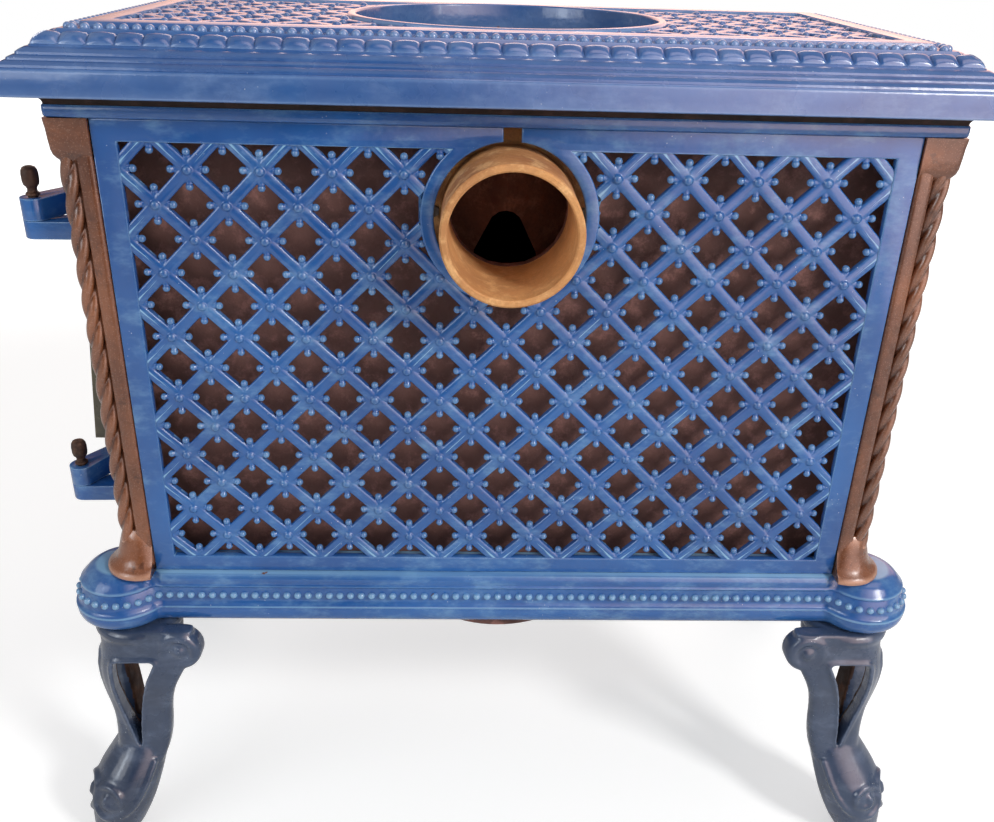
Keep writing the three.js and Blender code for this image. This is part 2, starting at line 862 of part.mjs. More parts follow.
// A turn latch about Y: the tongue hangs behind the frame's opening and the lever hangs outside.
function turnLatch(tongueFrom, plateOuter) {
  const hubFrom = plateOuter + seam;
  const spindle = turnedY(rod(spindleRadius, tongueFrom, hubFrom + 4), 8);
  const tongue = box(
    -tongueWidth / 2,
    tongueWidth / 2,
    tongueFrom,
    tongueFrom + tongueThickness,
    -tongueLength,
    tongueWidth / 2,
  );
  const arm = new THREE.Shape();
  arm.absarc(0, 0, 11, 0, Math.PI, false);
  arm.lineTo(-5, -leverLength);
  arm.lineTo(5, -leverLength);
  arm.closePath();
  const lever = slabY(arm, hubFrom, hubFrom + 7, 6);
  const knob = turnedY(
    [
      [0, 0],
      [5, 0],
      [5, 8],
      [10, 13],
      [10, 20],
      [5, 26],
      [0, 26],
    ],
    8,
  ).translate(0, hubFrom + 6, -leverLength + 4);
  return join(spindle, tongue, lever, knob);
}

// ---------------------------------------------------------------- front
function frontFrame() {
  const outline = rectangle(-rearHalf, rearHalf, panelBottom, panelBottom + panelHeight);
  const { halfWidth, bottom, top } = fireOpening;
  outline.holes.push(rectangle(-halfWidth, halfWidth, bottom, top));
  outline.holes.push(
    rectangle(-drawerHalfWidth - 3, drawerHalfWidth + 3, drawerBottom - 2, drawerTop + 3),
  );
  const plate = slabY(outline, frontInner, faceY);
  const root = faceY - sink;
  const lugs = fireLugHeights.map((z) =>
    lug(
      fireHinge,
      fireKnuckle,
      [
        [fireHinge.x - 7, root],
        [fireHinge.x + 12, root],
      ],
      z,
      z + fireLugHeight,
      firePinRadius + slip,
    ),
  );
  return join(plate, ...lugs);
}

const fireLugHeights = [fireOpening.bottom + 36, fireOpening.top - 36 - 2 * fireLugHeight];

function fireDoor() {
  const { halfWidth, bottom, top } = fireOpening;
  const edge = halfWidth + fireLap;
  const outline = rectangle(-edge, edge, bottom - fireLap, top + fireLap);
  outline.holes.push(
    rectangle(
      -glassHalfWidth + glassLap,
      glassHalfWidth - glassLap,
      glassBottom + glassLap,
      glassTop - glassLap,
    ),
  );
  const inner = faceY + seam;
  const outer = inner + fireDoorThickness;
  const plate = slabY(outline, inner, outer);
  const rebate = box(
    -glassHalfWidth - seam,
    glassHalfWidth + seam,
    inner - 1,
    glassFront + seam,
    glassBottom - seam,
    glassTop + seam,
  );
  const lugs = fireLugHeights.map((z) =>
    lug(
      fireHinge,
      fireKnuckle,
      [
        [edge - 1, outer],
        [edge - 1, inner + 1],
      ],
      z + fireLugHeight + seam,
      z + 2 * fireLugHeight,
      firePinRadius + slip,
    ),
  );
  const spindle = turnedY(rod(spindleRadius + slip, inner - 1, outer + 1), 8);
  return cut(join(plate, ...lugs), rebate, spindle.translate(fireLatch.x, 0, fireLatch.z));
}

const glassFront = faceY + seam + glassThickness;

function glassPane() {
  const y1 = glassFront;
  return box(-glassHalfWidth, glassHalfWidth, y1 - glassThickness, y1, glassBottom, glassTop);
}

function glassClip(z) {
  const half = glassHalfWidth + clipLap;
  return box(-half, half, faceY - clipThickness, faceY, z - clipHeight / 2, z + clipHeight / 2);
}

// ---------------------------------------------------------------- frieze and top
function topFrame() {
  const [z0, z1] = [friezeBottom, friezeTop];
  const h = z1 - z0;
  const ring = mitredRing(
    [
      [1, z0],
      [2, z0 + 0.25 * h],
      [2, z0 + 0.55 * h],
      [5, z0 + 0.75 * h],
      [friezeReach, z1],
      [-friezeBand, z1],
      [-friezeBand, z0],
    ],
    bodyX,
    bodyY,
  );
  const holes = cornerSigns.map(([sx, sy]) =>
    turned(rod(tieRodRadius + slip, z0 - 1, z1 + 1), 8).translate(sx * tieRodX, sy * tieRodY, 0),
  );
  return cut(ring, ...holes);
}

function topPlate() {
  const [z0, z1] = [corniceBottom, corniceTop];
  const h = z1 - z0;
  const field = (sideCells * pitch) / 2 + 10;
  const edge = -(bodyY - field);
  const outside = [
    [corniceReach, z0],
    [corniceReach - 0.6, z0 + 0.4 * h],
    [corniceReach - 2, z0 + 0.44 * h],
    [corniceReach - 11, z0 + 0.59 * h],
    [corniceReach - 20, z0 + 0.71 * h],
    [corniceReach - 36, z0 + 0.88 * h],
    [corniceReach - 46, z0 + 0.93 * h],
    [corniceReach - 50, z1],
  ];
  const inside = [
    [edge - 1, z1],
    [edge - 1, z1 - topPlateThickness],
    [-22, z1 - topPlateThickness - 2],
    [corniceReach - corniceWall - 2, z0 + 0.42 * h],
    [corniceReach - corniceWall, z0 + 6],
    [-topFlange, z0 + 6],
    [-topFlange, z0],
  ];
  const cornice = mitredRing([...outside, ...inside], bodyX, bodyY);
  const halfX = bodyX + edge;
  const halfY = bodyY + edge;
  const openings = shifted(
    trellisOpenings(rearCells, sideCells, false),
    (-rearCells * pitch) / 2,
    (-sideCells * pitch) / 2,
  );
  const outline = rectangle(-halfX, halfX, -halfY, halfY);
  const ringOuter = topHoleRadius + topRingWall;
  const blank = { x: 0, y: 0, radius: ringOuter - 1 };
  const crest = z1 - trellisDrop;
  const trellis = trellisSlab(slabZ, outline, openings, z1 - topPlateThickness, crest, blank);
  const wall = turned(
    [
      [topHoleRadius, z1 - topRingHeight],
      [ringOuter, z1 - topRingHeight],
      [ringOuter, z1],
      [ringOuter - 2, z1 + 1],
      [topHoleRadius, z1 + 1],
      [topHoleRadius, z1 - topRingHeight],
    ],
    28,
  );
  const bore = turned(rod(topHoleRadius, z1 - topRingHeight - 1, z1 + 2), 28);
  return join(cut(join(cornice, trellis), bore), wall);
}

// ---------------------------------------------------------------- firebox
function fireboxBack() {
  const outline = rectangle(-wallOuter, wallOuter, panelBottom, fireboxTop);
  outline.holes.push(round(0, spigotHeight, spigotBore, 20));
  const holes = [-1, 1].map((side) => {
    const hole = round(side * spigotBoltX, spigotHeight, spigotBoltRadius + slip, 8);
    return slabY(hole, backOuter - 1, backInner + 1);
  });
  return cut(slabY(outline, backOuter, backInner), ...holes);
}

const spigotBoltX = (spigotRadius + spigotFlange) / 2;

function flueSpigot() {
  const front = -faceY - spigotReach;
  const back = backOuter - seam;
  const tube = turnedY(
    [
      [spigotBore, front],
      [spigotRadius - 1.5, front],
      [spigotRadius, front + 1.5],
      [spigotRadius, back - flangeThickness],
      [spigotFlange, back - flangeThickness],
      [spigotFlange, back],
      [spigotBore, back],
      [spigotBore, front],
    ],
    20,
  ).translate(0, 0, spigotHeight);
  const holes = [-1, 1].map((side) =>
    turnedY(rod(spigotBoltRadius + slip, back - flangeThickness - 1, back + 1), 8).translate(
      side * spigotBoltX,
      0,
      spigotHeight,
    ),
  );
  return cut(tube, ...holes);
}

function spigotBolt(side) {
  const head = backOuter - 2 * seam - flangeThickness;
  return turnedY(
    [
      [0, head - 4],
      [2 * spigotBoltRadius, head - 4],
      [2 * spigotBoltRadius, head],
      [spigotBoltRadius, head],
      [spigotBoltRadius, backInner + 6],
      [0, backInner + 6],
    ],
    6,
  ).translate(side * spigotBoltX, 0, spigotHeight);
}

// The smoke box behind the spigot: its far wall folds out to a ridge over a rounded throat.
function flueBox() {
  const [y0, y1] = [backInner + seam, backInner + seam + flueBoxDepth];
  const w = flueBoxHalfWidth;
  const [z0, z1] = [spigotHeight - spigotBore - flueBoxWall - 2, fireboxTop - 2];
  const t = flueBoxWall;
  const shell = cut(
    box(-w, w, y0, y1, z0, z1),
    box(-w + t, w - t, y0 - 1, y1 - t, z0 + t, z1 - t),
  );
  const fold = polygon([
    [-w + t - 1, y1 - t + 1],
    [-w + t - 1, y1 - t - 4],
    [0, y1 - 0.55 * flueBoxDepth],
    [w - t + 1, y1 - t - 4],
    [w - t + 1, y1 - t + 1],
  ]);
  const ridge = slabZ(fold, z0 + t - 1, z1 - t + 1);
  const throat = new THREE.Shape();
  throat.moveTo(-throatWidth / 2, z0 - 1);
  throat.lineTo(-throatWidth / 5, z0 + 0.62 * throatWidth);
  throat.quadraticCurveTo(0, z0 + 0.85 * throatWidth, throatWidth / 5, z0 + 0.62 * throatWidth);
  throat.lineTo(throatWidth / 2, z0 - 1);
  throat.closePath();
  return cut(join(shell, ridge), slabY(throat, y0 + 8, y1 + 1, 4));
}

// A firebox side with ledges for the fire floor and the baffle; the left one has the loading opening.
function fireboxSide(side, open) {
  const outline = rectangle(backInner + seam, frontInner - seam, panelBottom, fireboxTop);
  if (open) {
    const { low, high, bottom, top } = loadingOpening;
    outline.holes.push(rectangle(low, high, bottom, top));
  }
  const [x0, x1] = side < 0 ? [-wallOuter, -wallInner] : [wallInner, wallOuter];
  const plate = slabX(outline, x0, x1);
  const pieces = [fireFloorHeight, baffleHeight].map((z) => {
    const [a, b] = [wallInner - ledgeWidth, wallInner + sink];
    const x = side < 0 ? [-b, -a] : [a, b];
    const [y0, y1] = [baffleFrom, baffleFrom + baffleDepth];
    return box(...x, y0, y1, z - seam - ledgeThickness, z - seam);
  });
  if (open) {
    const { low, high, bottom, top } = loadingOpening;
    const t = sleeveWall;
    const sleeve = rectangle(low - t, high + t, bottom - t, top + t);
    sleeve.holes.push(rectangle(low, high, bottom, top));
    const reach = faceX - panelThickness - 4 * slip - tongueThickness;
    pieces.push(slabX(sleeve, -reach, x0 + sink));
  }
  return join(plate, ...pieces);
}

const baffleFrom = backInner + seam + flueBoxDepth + 8;

function bottomPlate() {
  const half = wallInner - seam;
  const plate = box(
    -half,
    half,
    backInner + seam,
    frontInner - seam,
    floorPlateBottom,
    floorPlateTop,
  );
  const runners = [-1, 1].map((side) => {
    const x = side * (drawerHalfWidth - 16);
    return box(
      x - 5,
      x + 5,
      frontInner - drawerLength,
      frontInner - 4,
      floorPlateTop - sink,
      floorPlateTop + runnerHeight,
    );
  });
  return join(plate, ...runners);
}

function fireFloor() {
  const half = wallInner - seam;
  const outline = rectangle(-half, half, backInner + seam, frontInner - seam);
  const [w, d] = [grateWidth / 2, grateDepth / 2];
  outline.holes.push(rectangle(-w + 6, w - 6, -d + 6, d - 6));
  const plate = slabZ(outline, fireFloorHeight, fireFloorHeight + plateThickness);
  const rebate = box(
    -w - seam,
    w + seam,
    -d - seam,
    d + seam,
    fireFloorHeight + plateThickness - rebateDepth,
    fireFloorHeight + plateThickness + 1,
  );
  return cut(plate, rebate);
}

function grate() {
  const [w, d] = [grateWidth / 2, grateDepth / 2];
  const from = fireFloorHeight + plateThickness - rebateDepth + seam;
  const to = from + 8;
  const step = (grateWidth - 20) / grateBars;
  const slots = [];
  for (let i = 0; i < grateBars; i++) {
    const x = -w + 10 + i * step;
    slots.push(box(x + 5, x + step - 5, -d + 12, d - 12, from - 1, to + 1));
  }
  return cut(box(-w, w, -d, d, from, to), mergeGeometries(slots));
}

function baffle() {
  const half = wallInner - seam;
  return box(
    -half,
    half,
    baffleFrom + 6,
    baffleFrom + baffleDepth,
    baffleHeight,
    baffleHeight + baffleThickness,
  );
}

function hobPlate() {
  const z0 = fireboxTop + seam;
  const z1 = z0 + hobThickness;
  const outline = rectangle(-wallOuter, wallOuter, backOuter, frontInner - seam);
  outline.holes.push(round(0, 0, lidRadius - lidLip, 20));
  const plate = slabZ(outline, z0, z1);
  const rebate = turned(rod(lidRadius + 3 * slip, z1 - rebateDepth, z1 + 1), 20);
  return cut(plate, rebate);
}

function hobLid() {
  const z0 = fireboxTop + seam + hobThickness - rebateDepth + seam;
  return turned(
    [
      [0, z0],
      [lidRadius, z0],
      [lidRadius, z0 + lidThickness],
      [16, z0 + lidThickness],
      [13, z0 + lidThickness - 2.5],
      [0, z0 + lidThickness - 2.5],
    ],
    20,
  );
}

function tieRod() {
  const foot = baseTop - shelfThickness - seam;
  const head = friezeTop + seam;
  return turned(
    [
      [0, foot - tieNutHeight],
      [tieNutRadius, foot - tieNutHeight],
      [tieNutRadius, foot],
      [tieRodRadius, foot],
      [tieRodRadius, head],
      [tieNutRadius, head],
      [tieNutRadius, head + tieNutHeight],
      [0, head + tieNutHeight],
    ],
    6,
  );
}

// ---------------------------------------------------------------- ash drawer
function ashTray() {
  const [y0, y1] = [frontInner - drawerLength, faceY];
  const w = drawerHalfWidth;
  const t = drawerWall;
  return cut(
    box(-w, w, y0, y1, drawerBottom, drawerTop),
    box(-w + t, w - t, y0 + t, y1 - t, drawerBottom + t, drawerTop + 1),
  );
}

const drawerFrontFrom = faceY + seam;
const airDiscX = drawerHalfWidth - airDiscInset;
const airDiscZ = (drawerBottom + drawerTop) / 2;

// Prisms for the air holes about one disc's stud, and for the stud's own hole.
function airHolePrisms(x, from, to) {
  const prisms = [slabY(round(x, airDiscZ, airStudRadius + slip, 8), from - 1, to + 1)];
  for (let k = 0; k < airHoles; k++) {
    const angle = (2 * Math.PI * k) / airHoles + Math.PI / 2;
    const [dx, dz] = [airHoleCircle * Math.cos(angle), airHoleCircle * Math.sin(angle)];
    const hole = round(x + dx, airDiscZ + dz, airHoleRadius, 6);
    prisms.push(slabY(hole, from - 1, to + 1));
  }
  return mergeGeometries(prisms);
}

function drawerFront() {
  const edge = drawerHalfWidth + drawerFrontLap;
  const [y0, y1] = [drawerFrontFrom, drawerFrontFrom + drawerFrontThickness];
  const plate = box(-edge, edge, y0, y1, panelBottom + 2, drawerTop + drawerFrontLap);
  return cut(plate, airHolePrisms(-airDiscX, y0, y1), airHolePrisms(airDiscX, y0, y1));
}

function drawerKnob() {
  const from = drawerFrontFrom + drawerFrontThickness + seam;
  return turnedY(
    [
      [0, from],
      [9, from],
      [6, from + 4],
      [6, from + 12],
      [14, from + 19],
      [14, from + 25],
      [8, from + 31],
      [0, from + 31],
    ],
    10,
  ).translate(0, 0, airDiscZ);
}

function airDisc(side) {
  const x = side * airDiscX;
  const from = drawerFrontFrom + drawerFrontThickness + seam;
  const to = from + airDiscThickness;
  const disc = slabY(round(x, airDiscZ, airDiscRadius, 12), from, to);
  return cut(disc, airHolePrisms(x, from, to));
}

function airStud(side) {
  const from = drawerFrontFrom + 0.5;
  const discFront = drawerFrontFrom + drawerFrontThickness + seam + airDiscThickness + seam;
  return turnedY(
    [
      [0, from],
      [airStudRadius, from],
      [airStudRadius, discFront],
      [2 * airStudRadius, discFront],
      [2 * airStudRadius, discFront + 3],
      [airStudRadius, discFront + 5],
      [0, discFront + 5],
    ],
    8,
  ).translate(side * airDiscX, 0, airDiscZ);
}

// ---------------------------------------------------------------- scene
const finish = (color, roughness, metalness) =>
  new THREE.MeshStandardMaterial({ color, roughness, metalness, flatShading: true });
const blueEnamel = finish(0x2f6fb4, 0.25, 0);
const brownEnamel = finish(0x8c5842, 0.35, 0);
const darkEnamel = finish(0x3a332c, 0.4, 0);
const rustIron = finish(0xb07a3c, 0.8, 0.1);
const mauveIron = finish(0x5e3d38, 0.85, 0.1);
const blackIron = finish(0x2b2523, 0.8, 0.3);
const steel = finish(0x6e6a66, 0.45, 0.8);
const glass = finish(0x30302c, 0.05, 0);

const stove = new THREE.Group();

function add(name, geometry, material, x = 0, y = 0, z = 0) {
  const shown = geometry.index ? geometry.toNonIndexed() : geometry;
  shown.computeVertexNormals();
  const mesh = new THREE.Mesh(shown, material);
  mesh.name = name;
  mesh.position.set(x, y, z);
  stove.add(mesh);
}

// A corner piece, mirrored into each of the body's four corners.
function addCorners(prefix, make, material) {
  cornerSigns.forEach(([sx, sy], i) => {
    const copy = closed(make(sx * sy).scale(-sx, -sy, 1));
    add(prefix + cornerNames[i], copy, material, sx * bodyX, sy * bodyY);
  });
}

add("base_frame", baseFrame(), blueEnamel);
addCorners("leg_", leg, blueEnamel);
addCorners("leg_bolt_", legBolt, steel);
addCorners("post_", cornerPost, brownEnamel);
add("rear_panel", rearPanel(), blueEnamel);
add("right_side_panel", rightSidePanel(), blueEnamel);
add("left_side_panel", leftSidePanel(), blueEnamel);
add("front_frame", frontFrame(), blueEnamel);
add("top_frame", topFrame(), blueEnamel);
add("top_plate", topPlate(), blueEnamel);

add("side_door", sideDoor(), darkEnamel);
[upperHingeHeight, lowerHingeHeight].forEach((z, i) => {
  const lugTop = z + sideLugHeight + seam + doorLugHeight;
  const pin = hingePin(sidePinRadius, 6.8, z + 2, lugTop + seam);
  add("side_hinge_pin_" + ["upper", "lower"][i], pin, brownEnamel, sideHinge.x, sideHinge.y);
});
const sideLatchSolid = turnLatch(
  faceX - panelThickness - slip - tongueThickness,
  faceX + seam + sideDoorThickness,
).rotateZ(Math.PI / 2);
add("side_door_latch", sideLatchSolid, brownEnamel, 0, sideLatch.y, sideLatch.z);

add("fire_door", fireDoor(), blueEnamel);
add("fire_door_glass", glassPane(), glass);
add("glass_clip_top", glassClip(glassTop - clipHeight), blackIron);
add("glass_clip_bottom", glassClip(glassBottom + clipHeight), blackIron);
fireLugHeights.forEach((z, i) => {
  const pin = hingePin(firePinRadius, 6, z + 1, z + 2 * fireLugHeight + seam);
  add("fire_hinge_pin_" + ["lower", "upper"][i], pin, steel, fireHinge.x, fireHinge.y);
});
const fireLatchSolid = turnLatch(
  frontInner - slip - tongueThickness,
  faceY + seam + fireDoorThickness,
);
add("fire_door_latch", fireLatchSolid, steel, fireLatch.x, 0, fireLatch.z);

add("firebox_back", fireboxBack(), mauveIron);
add("firebox_left", fireboxSide(-1, true), blackIron);
add("firebox_right", fireboxSide(1, false), blackIron);
add("flue_spigot", flueSpigot(), rustIron);
add("flue_box", flueBox(), mauveIron);
add("spigot_bolt_left", spigotBolt(-1), steel);
add("spigot_bolt_right", spigotBolt(1), steel);
add("bottom_plate", bottomPlate(), blackIron);
add("fire_floor", fireFloor(), blackIron);
add("grate", grate(), blackIron);
add("baffle", baffle(), blackIron);
add("hob_plate", hobPlate(), blackIron);
add("hob_lid", hobLid(), blackIron);
cornerSigns.forEach(([sx, sy], i) => {
  add("tie_rod_" + cornerNames[i], tieRod(), steel, sx * tieRodX, sy * tieRodY);
});

add("ash_tray", ashTray(), blackIron);
add("ash_drawer_front", drawerFront(), blueEnamel);
add("ash_drawer_knob", drawerKnob(), steel);
[-1, 1].forEach((side, i) => {
  add("air_disc_" + ["left", "right"][i], airDisc(side), blueEnamel);
  add("air_stud_" + ["left", "right"][i], airStud(side), steel);
});

export default stove;
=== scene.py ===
"""Looks of the enamelled cast-iron stove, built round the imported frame.

The stove's shapes are written in millimetres, as points and faces in numpy, and become metres where
a mesh is made of them. The stage is written in metres. Levels and outlines come from the frame's
own boxes.
"""

import json
import math
from contextlib import contextmanager

import bmesh
import bpy
import numpy as np
from mathutils import Matrix, Vector

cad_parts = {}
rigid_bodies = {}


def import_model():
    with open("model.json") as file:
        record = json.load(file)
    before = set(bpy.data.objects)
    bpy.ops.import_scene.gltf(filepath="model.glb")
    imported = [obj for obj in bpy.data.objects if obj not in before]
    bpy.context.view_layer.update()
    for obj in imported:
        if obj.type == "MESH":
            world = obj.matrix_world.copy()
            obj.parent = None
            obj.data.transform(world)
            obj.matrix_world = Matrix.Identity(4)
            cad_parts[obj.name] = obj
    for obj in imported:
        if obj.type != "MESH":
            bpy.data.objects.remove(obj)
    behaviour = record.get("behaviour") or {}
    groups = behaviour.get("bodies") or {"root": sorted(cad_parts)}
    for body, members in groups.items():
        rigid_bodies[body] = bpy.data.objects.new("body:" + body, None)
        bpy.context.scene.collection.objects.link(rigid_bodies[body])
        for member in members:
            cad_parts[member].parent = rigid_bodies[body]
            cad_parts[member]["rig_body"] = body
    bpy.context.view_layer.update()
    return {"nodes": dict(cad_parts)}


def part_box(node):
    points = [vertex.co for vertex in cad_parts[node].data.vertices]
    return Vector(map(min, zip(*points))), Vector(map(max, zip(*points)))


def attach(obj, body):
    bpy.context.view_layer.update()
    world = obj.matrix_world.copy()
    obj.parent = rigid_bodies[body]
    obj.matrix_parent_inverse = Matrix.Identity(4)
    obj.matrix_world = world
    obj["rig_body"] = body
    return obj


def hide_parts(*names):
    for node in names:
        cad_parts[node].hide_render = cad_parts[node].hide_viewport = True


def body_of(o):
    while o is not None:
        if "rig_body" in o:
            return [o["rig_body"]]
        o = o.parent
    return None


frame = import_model()

MM = 0.001
TAU = 2 * math.pi


def box_mm(node):
    low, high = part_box(node)
    return np.array(low) / MM, np.array(high) / MM


# ---------------------------------------------------------------- driving dimensions
PITCH = 56.0  # corner to corner of one trellis cell
BAR_WIDTH = 10.4
BAR_HEIGHT = 6.6
BOSS_RADIUS = 4.3
BEAD_RADIUS = 3.3
BOSS_HEIGHT = 3.6
BEAD_AWAY = 13.5  # a bead's middle, from its crossing
BEAD_NECK = (6.4, 2.9, 2.6)  # radii of the web between a bead and its crossing
TRELLIS_INSET = 5.0  # how far the borders cover the trellis at its sides and foot
TRELLIS_INSET_TOP = 7.6
CELLS_ACROSS = 11
CELLS_UP = 7
CELLS_DEEP = 5
EDGE_ROUND = 1.5
MITRE_ROUND = 4.0  # corner radius of the mouldings in plan
MITRE_STEPS = 5
STRAND_PITCH = 26.0
BASE_BEAD_PITCH = 10.0
CORNICE_BEAD_PITCH = 9.6
GADROON_PITCH = 20.0

rear_low, rear_high = box_mm("rear_panel")
base_high = box_mm("base_frame")[1]
frieze_low, frieze_high = box_mm("top_frame")
cornice_low, cornice_high = box_mm("top_plate")
spigot_low, spigot_high = box_mm("flue_spigot")
post_low, post_high = box_mm("post_rear_left")
side_low, side_high = box_mm("right_side_panel")

TOP_RISE = 1.0  # of the ring round the top hole above the plate
CORNICE_REACH = 26.0  # of the cornice's lower edge past the body
body_x = cornice_high[0] - CORNICE_REACH
body_y = cornice_high[1] - CORNICE_REACH
FRIEZE_REACH = 12.0
FRIEZE_STRIP = 9.4  # height of its blue strip
field_x = CELLS_ACROSS * PITCH / 2
field_y = CELLS_DEEP * PITCH / 2
field_bottom = rear_low[2] + 11
field_top = field_bottom + CELLS_UP * PITCH
window_x = field_x - TRELLIS_INSET
window_low = field_bottom + TRELLIS_INSET
window_high = field_top - TRELLIS_INSET_TOP
cornice_top = cornice_high[2] - TOP_RISE
spigot_z = (spigot_low[2] + spigot_high[2]) / 2
BOSS_AT = (body_x + 6, body_y - 18)
CORNERS = {"rear_left": (-1, -1), "rear_right": (1, -1), "front_left": (-1, 1), "front_right": (1, 1)}


# ---------------------------------------------------------------- forms: (points, faces)
def grid_form(rows, wrap_rows=False, cap=False):
    """A skin through rows of points. Each row is a closed loop."""
    rows = np.asarray(rows, float)
    count, width, _ = rows.shape
    faces = []
    for r in range(count if wrap_rows else count - 1):
        below, above = r * width, ((r + 1) % count) * width
        for i in range(width):
            j = (i + 1) % width
            faces.append((below + i, below + j, above + j, above + i))
    if cap:
        faces.append(tuple(range(width))[::-1])
        faces.append(tuple((count - 1) * width + i for i in range(width)))
    return rows.reshape(-1, 3), faces


def merged(*forms):
    points, faces, start = [], [], 0
    for p, f in forms:
        points.append(p)
        faces += [tuple(i + start for i in face) for face in f]
        start += len(p)
    return np.vstack(points), faces


def moved(form, offset=(0, 0, 0), turn=None):
    points = form[0] if turn is None else form[0] @ np.array(turn, float).T
    return points + np.array(offset, float), form[1]


def mirrored(form, sx, sy):
    """The form mirrored across x = 0 or y = 0 where that sign is negative."""
    points = form[0] * np.array([sx, sy, 1.0])
    faces = form[1] if sx * sy > 0 else [f[::-1] for f in form[1]]
    return points, faces


def round_angles(count):
    return np.arange(count) * TAU / count


def lathe(profile, segments=48):
    """Turned about Z from a profile of (radius, height). A radius of 0 closes an end in a point."""
    angles = round_angles(segments)
    rows = []
    for radius, z in profile:
        r = max(radius, 0.01)
        rows.append(np.c_[r * np.cos(angles), r * np.sin(angles), np.full(segments, z)])
    return grid_form(rows, cap=True)


def ring_form(rows):
    """A skin through closed profiles that stand round an axis."""
    points, faces = grid_form(rows, wrap_rows=True)
    return points, [f[::-1] for f in faces]


def ring_lathe(profile):
    """Turned about Z from a closed profile that stays clear of the axis."""
    rows = [[(r * math.cos(a), r * math.sin(a), z) for r, z in profile] for a in round_angles(96)]
    return ring_form(rows)


def ball(radii, around=12, up=7):
    """An ellipsoid about the origin."""
    rx, ry, rz = radii
    angles = round_angles(around)
    rings = []
    for k in range(1, up):
        a = math.pi * k / up - math.pi / 2
        c, s = math.cos(a), math.sin(a)
        rings.append(np.c_[rx * c * np.cos(angles), ry * c * np.sin(angles), np.full(around, rz * s)])
    points, faces = grid_form(rings)
    poles = len(points)
    points = np.vstack([points, [[0, 0, -rz], [0, 0, rz]]])
    last = (up - 2) * around
    for i in range(around):
        j = (i + 1) % around
        faces.append((poles, j, i))
        faces.append((poles + 1, last + i, last + j))
    return points, faces


def arc(centre, radius, start, end, steps):
    """Points of an arc in the plane, angles in degrees."""
    angles = np.radians(np.linspace(start, end, steps + 1))
    return [(centre[0] + radius * math.cos(a), centre[1] + radius * math.sin(a)) for a in angles]


def moulding(profile, half_x, half_y):
    """A closed profile of (outwards, height) run round a rectangle with slightly rounded mitres."""
    rows = []
    for quarter, (sx, sy) in enumerate([(1, 1), (-1, 1), (-1, -1), (1, -1)]):
        for k in range(MITRE_STEPS + 1):
            a = math.pi / 2 * (quarter + k / MITRE_STEPS)
            row = []
            for out, z in profile:
                x = sx * (half_x + out - MITRE_ROUND) + MITRE_ROUND * math.cos(a)
                y = sy * (half_y + out - MITRE_ROUND) + MITRE_ROUND * math.sin(a)
                row.append((x, y, z))
            rows.append(row)
    return ring_form(rows)


def lengths_along(path):
    """The distance to each point of a polyline, along it."""
    return np.concatenate([[0], np.cumsum(np.hypot(*np.diff(path, axis=0).T))])


def along_rectangle(half_x, half_y, pitch):
    """Evenly spread places round a rectangle."""
    places = []
    across = max(1, round(2 * half_x / pitch))
    deep = max(1, round(2 * half_y / pitch))
    for i in range(across):
        x = -half_x + (i + 0.5) * 2 * half_x / across
        places += [(x, -half_y), (x, half_y)]
    for i in range(deep):
        y = -half_y + (i + 0.5) * 2 * half_y / deep
        places += [(-half_x, y), (half_x, y)]
    return places


# ---------------------------------------------------------------- pieces
def object_of(name, data):
    obj = bpy.data.objects.new(name, data)
    bpy.context.scene.collection.objects.link(obj)
    return obj


def mesh_of(name, form):
    points, faces = form
    mesh = bpy.data.meshes.new(name)
    mesh.from_pydata((np.asarray(points) * MM).tolist(), [], [list(f) for f in faces])
    mesh.validate()
    return mesh


def piece(name, form, material, replaces=(), body="stove_body", sharp=40):
    """An object of the stove from a form, or from a finished mesh, in place."""
    mesh = form if isinstance(form, bpy.types.Mesh) else mesh_of(name, form)
    mesh.name = name
    mesh.materials.clear()
    mesh.materials.append(material)
    mesh.shade_smooth()
    mesh.set_sharp_from_angle(angle=math.radians(sharp))
    obj = object_of(name, mesh)
    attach(obj, body)
    if replaces:
        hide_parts(*replaces)
    return obj


def evaluated(obj):
    """The mesh of a scratch object with its modifiers applied. The object goes."""
    bpy.context.view_layer.update()
    ready = obj.evaluated_get(bpy.context.evaluated_depsgraph_get())
    mesh = bpy.data.meshes.new_from_object(ready)
    bpy.data.objects.remove(obj)
    return mesh


def fused(form, voxel, smoothing, share=1.0):
    """One closed skin over overlapping forms, with the soft fillets of an enamelled casting."""
    obj = object_of("fused", mesh_of("fused", form))
    remesh = obj.modifiers.new("skin", "REMESH")
    remesh.mode = "VOXEL"
    remesh.voxel_size = voxel * MM
    smooth = obj.modifiers.new("soften", "SMOOTH")
    smooth.factor = 0.5
    smooth.iterations = smoothing
    if share < 1:
        thin = obj.modifiers.new("thin", "DECIMATE")
        thin.ratio = share
    return evaluated(obj)


def flat_plate(outline, holes, thickness, edge):
    """A plate in the XY plane, its middle at z = 0, with every edge rounded."""
    curve = bpy.data.curves.new("plate", "CURVE")
    curve.dimensions = "2D"
    curve.fill_mode = "BOTH"
    curve.bevel_depth = edge * MM
    curve.bevel_resolution = 2
    curve.offset = -edge * MM
    curve.extrude = (thickness / 2 - edge) * MM
    for points in [outline, *holes]:
        spline = curve.splines.new("POLY")
        spline.points.add(len(points) - 1)
        flat = [c * MM for x, y in points for c in (x, y)]
        for point, x, y in zip(spline.points, flat[::2], flat[1::2], strict=True):
            point.co = (x, y, 0, 1)
        spline.use_cyclic_u = True
    return welded(evaluated(object_of("plate", curve)))


@contextmanager
def editing(mesh):
    """A mesh's vertices, edges and faces to work on, written back at the end."""
    made = bmesh.new()
    made.from_mesh(mesh)
    yield made
    made.to_mesh(mesh)
    made.free()


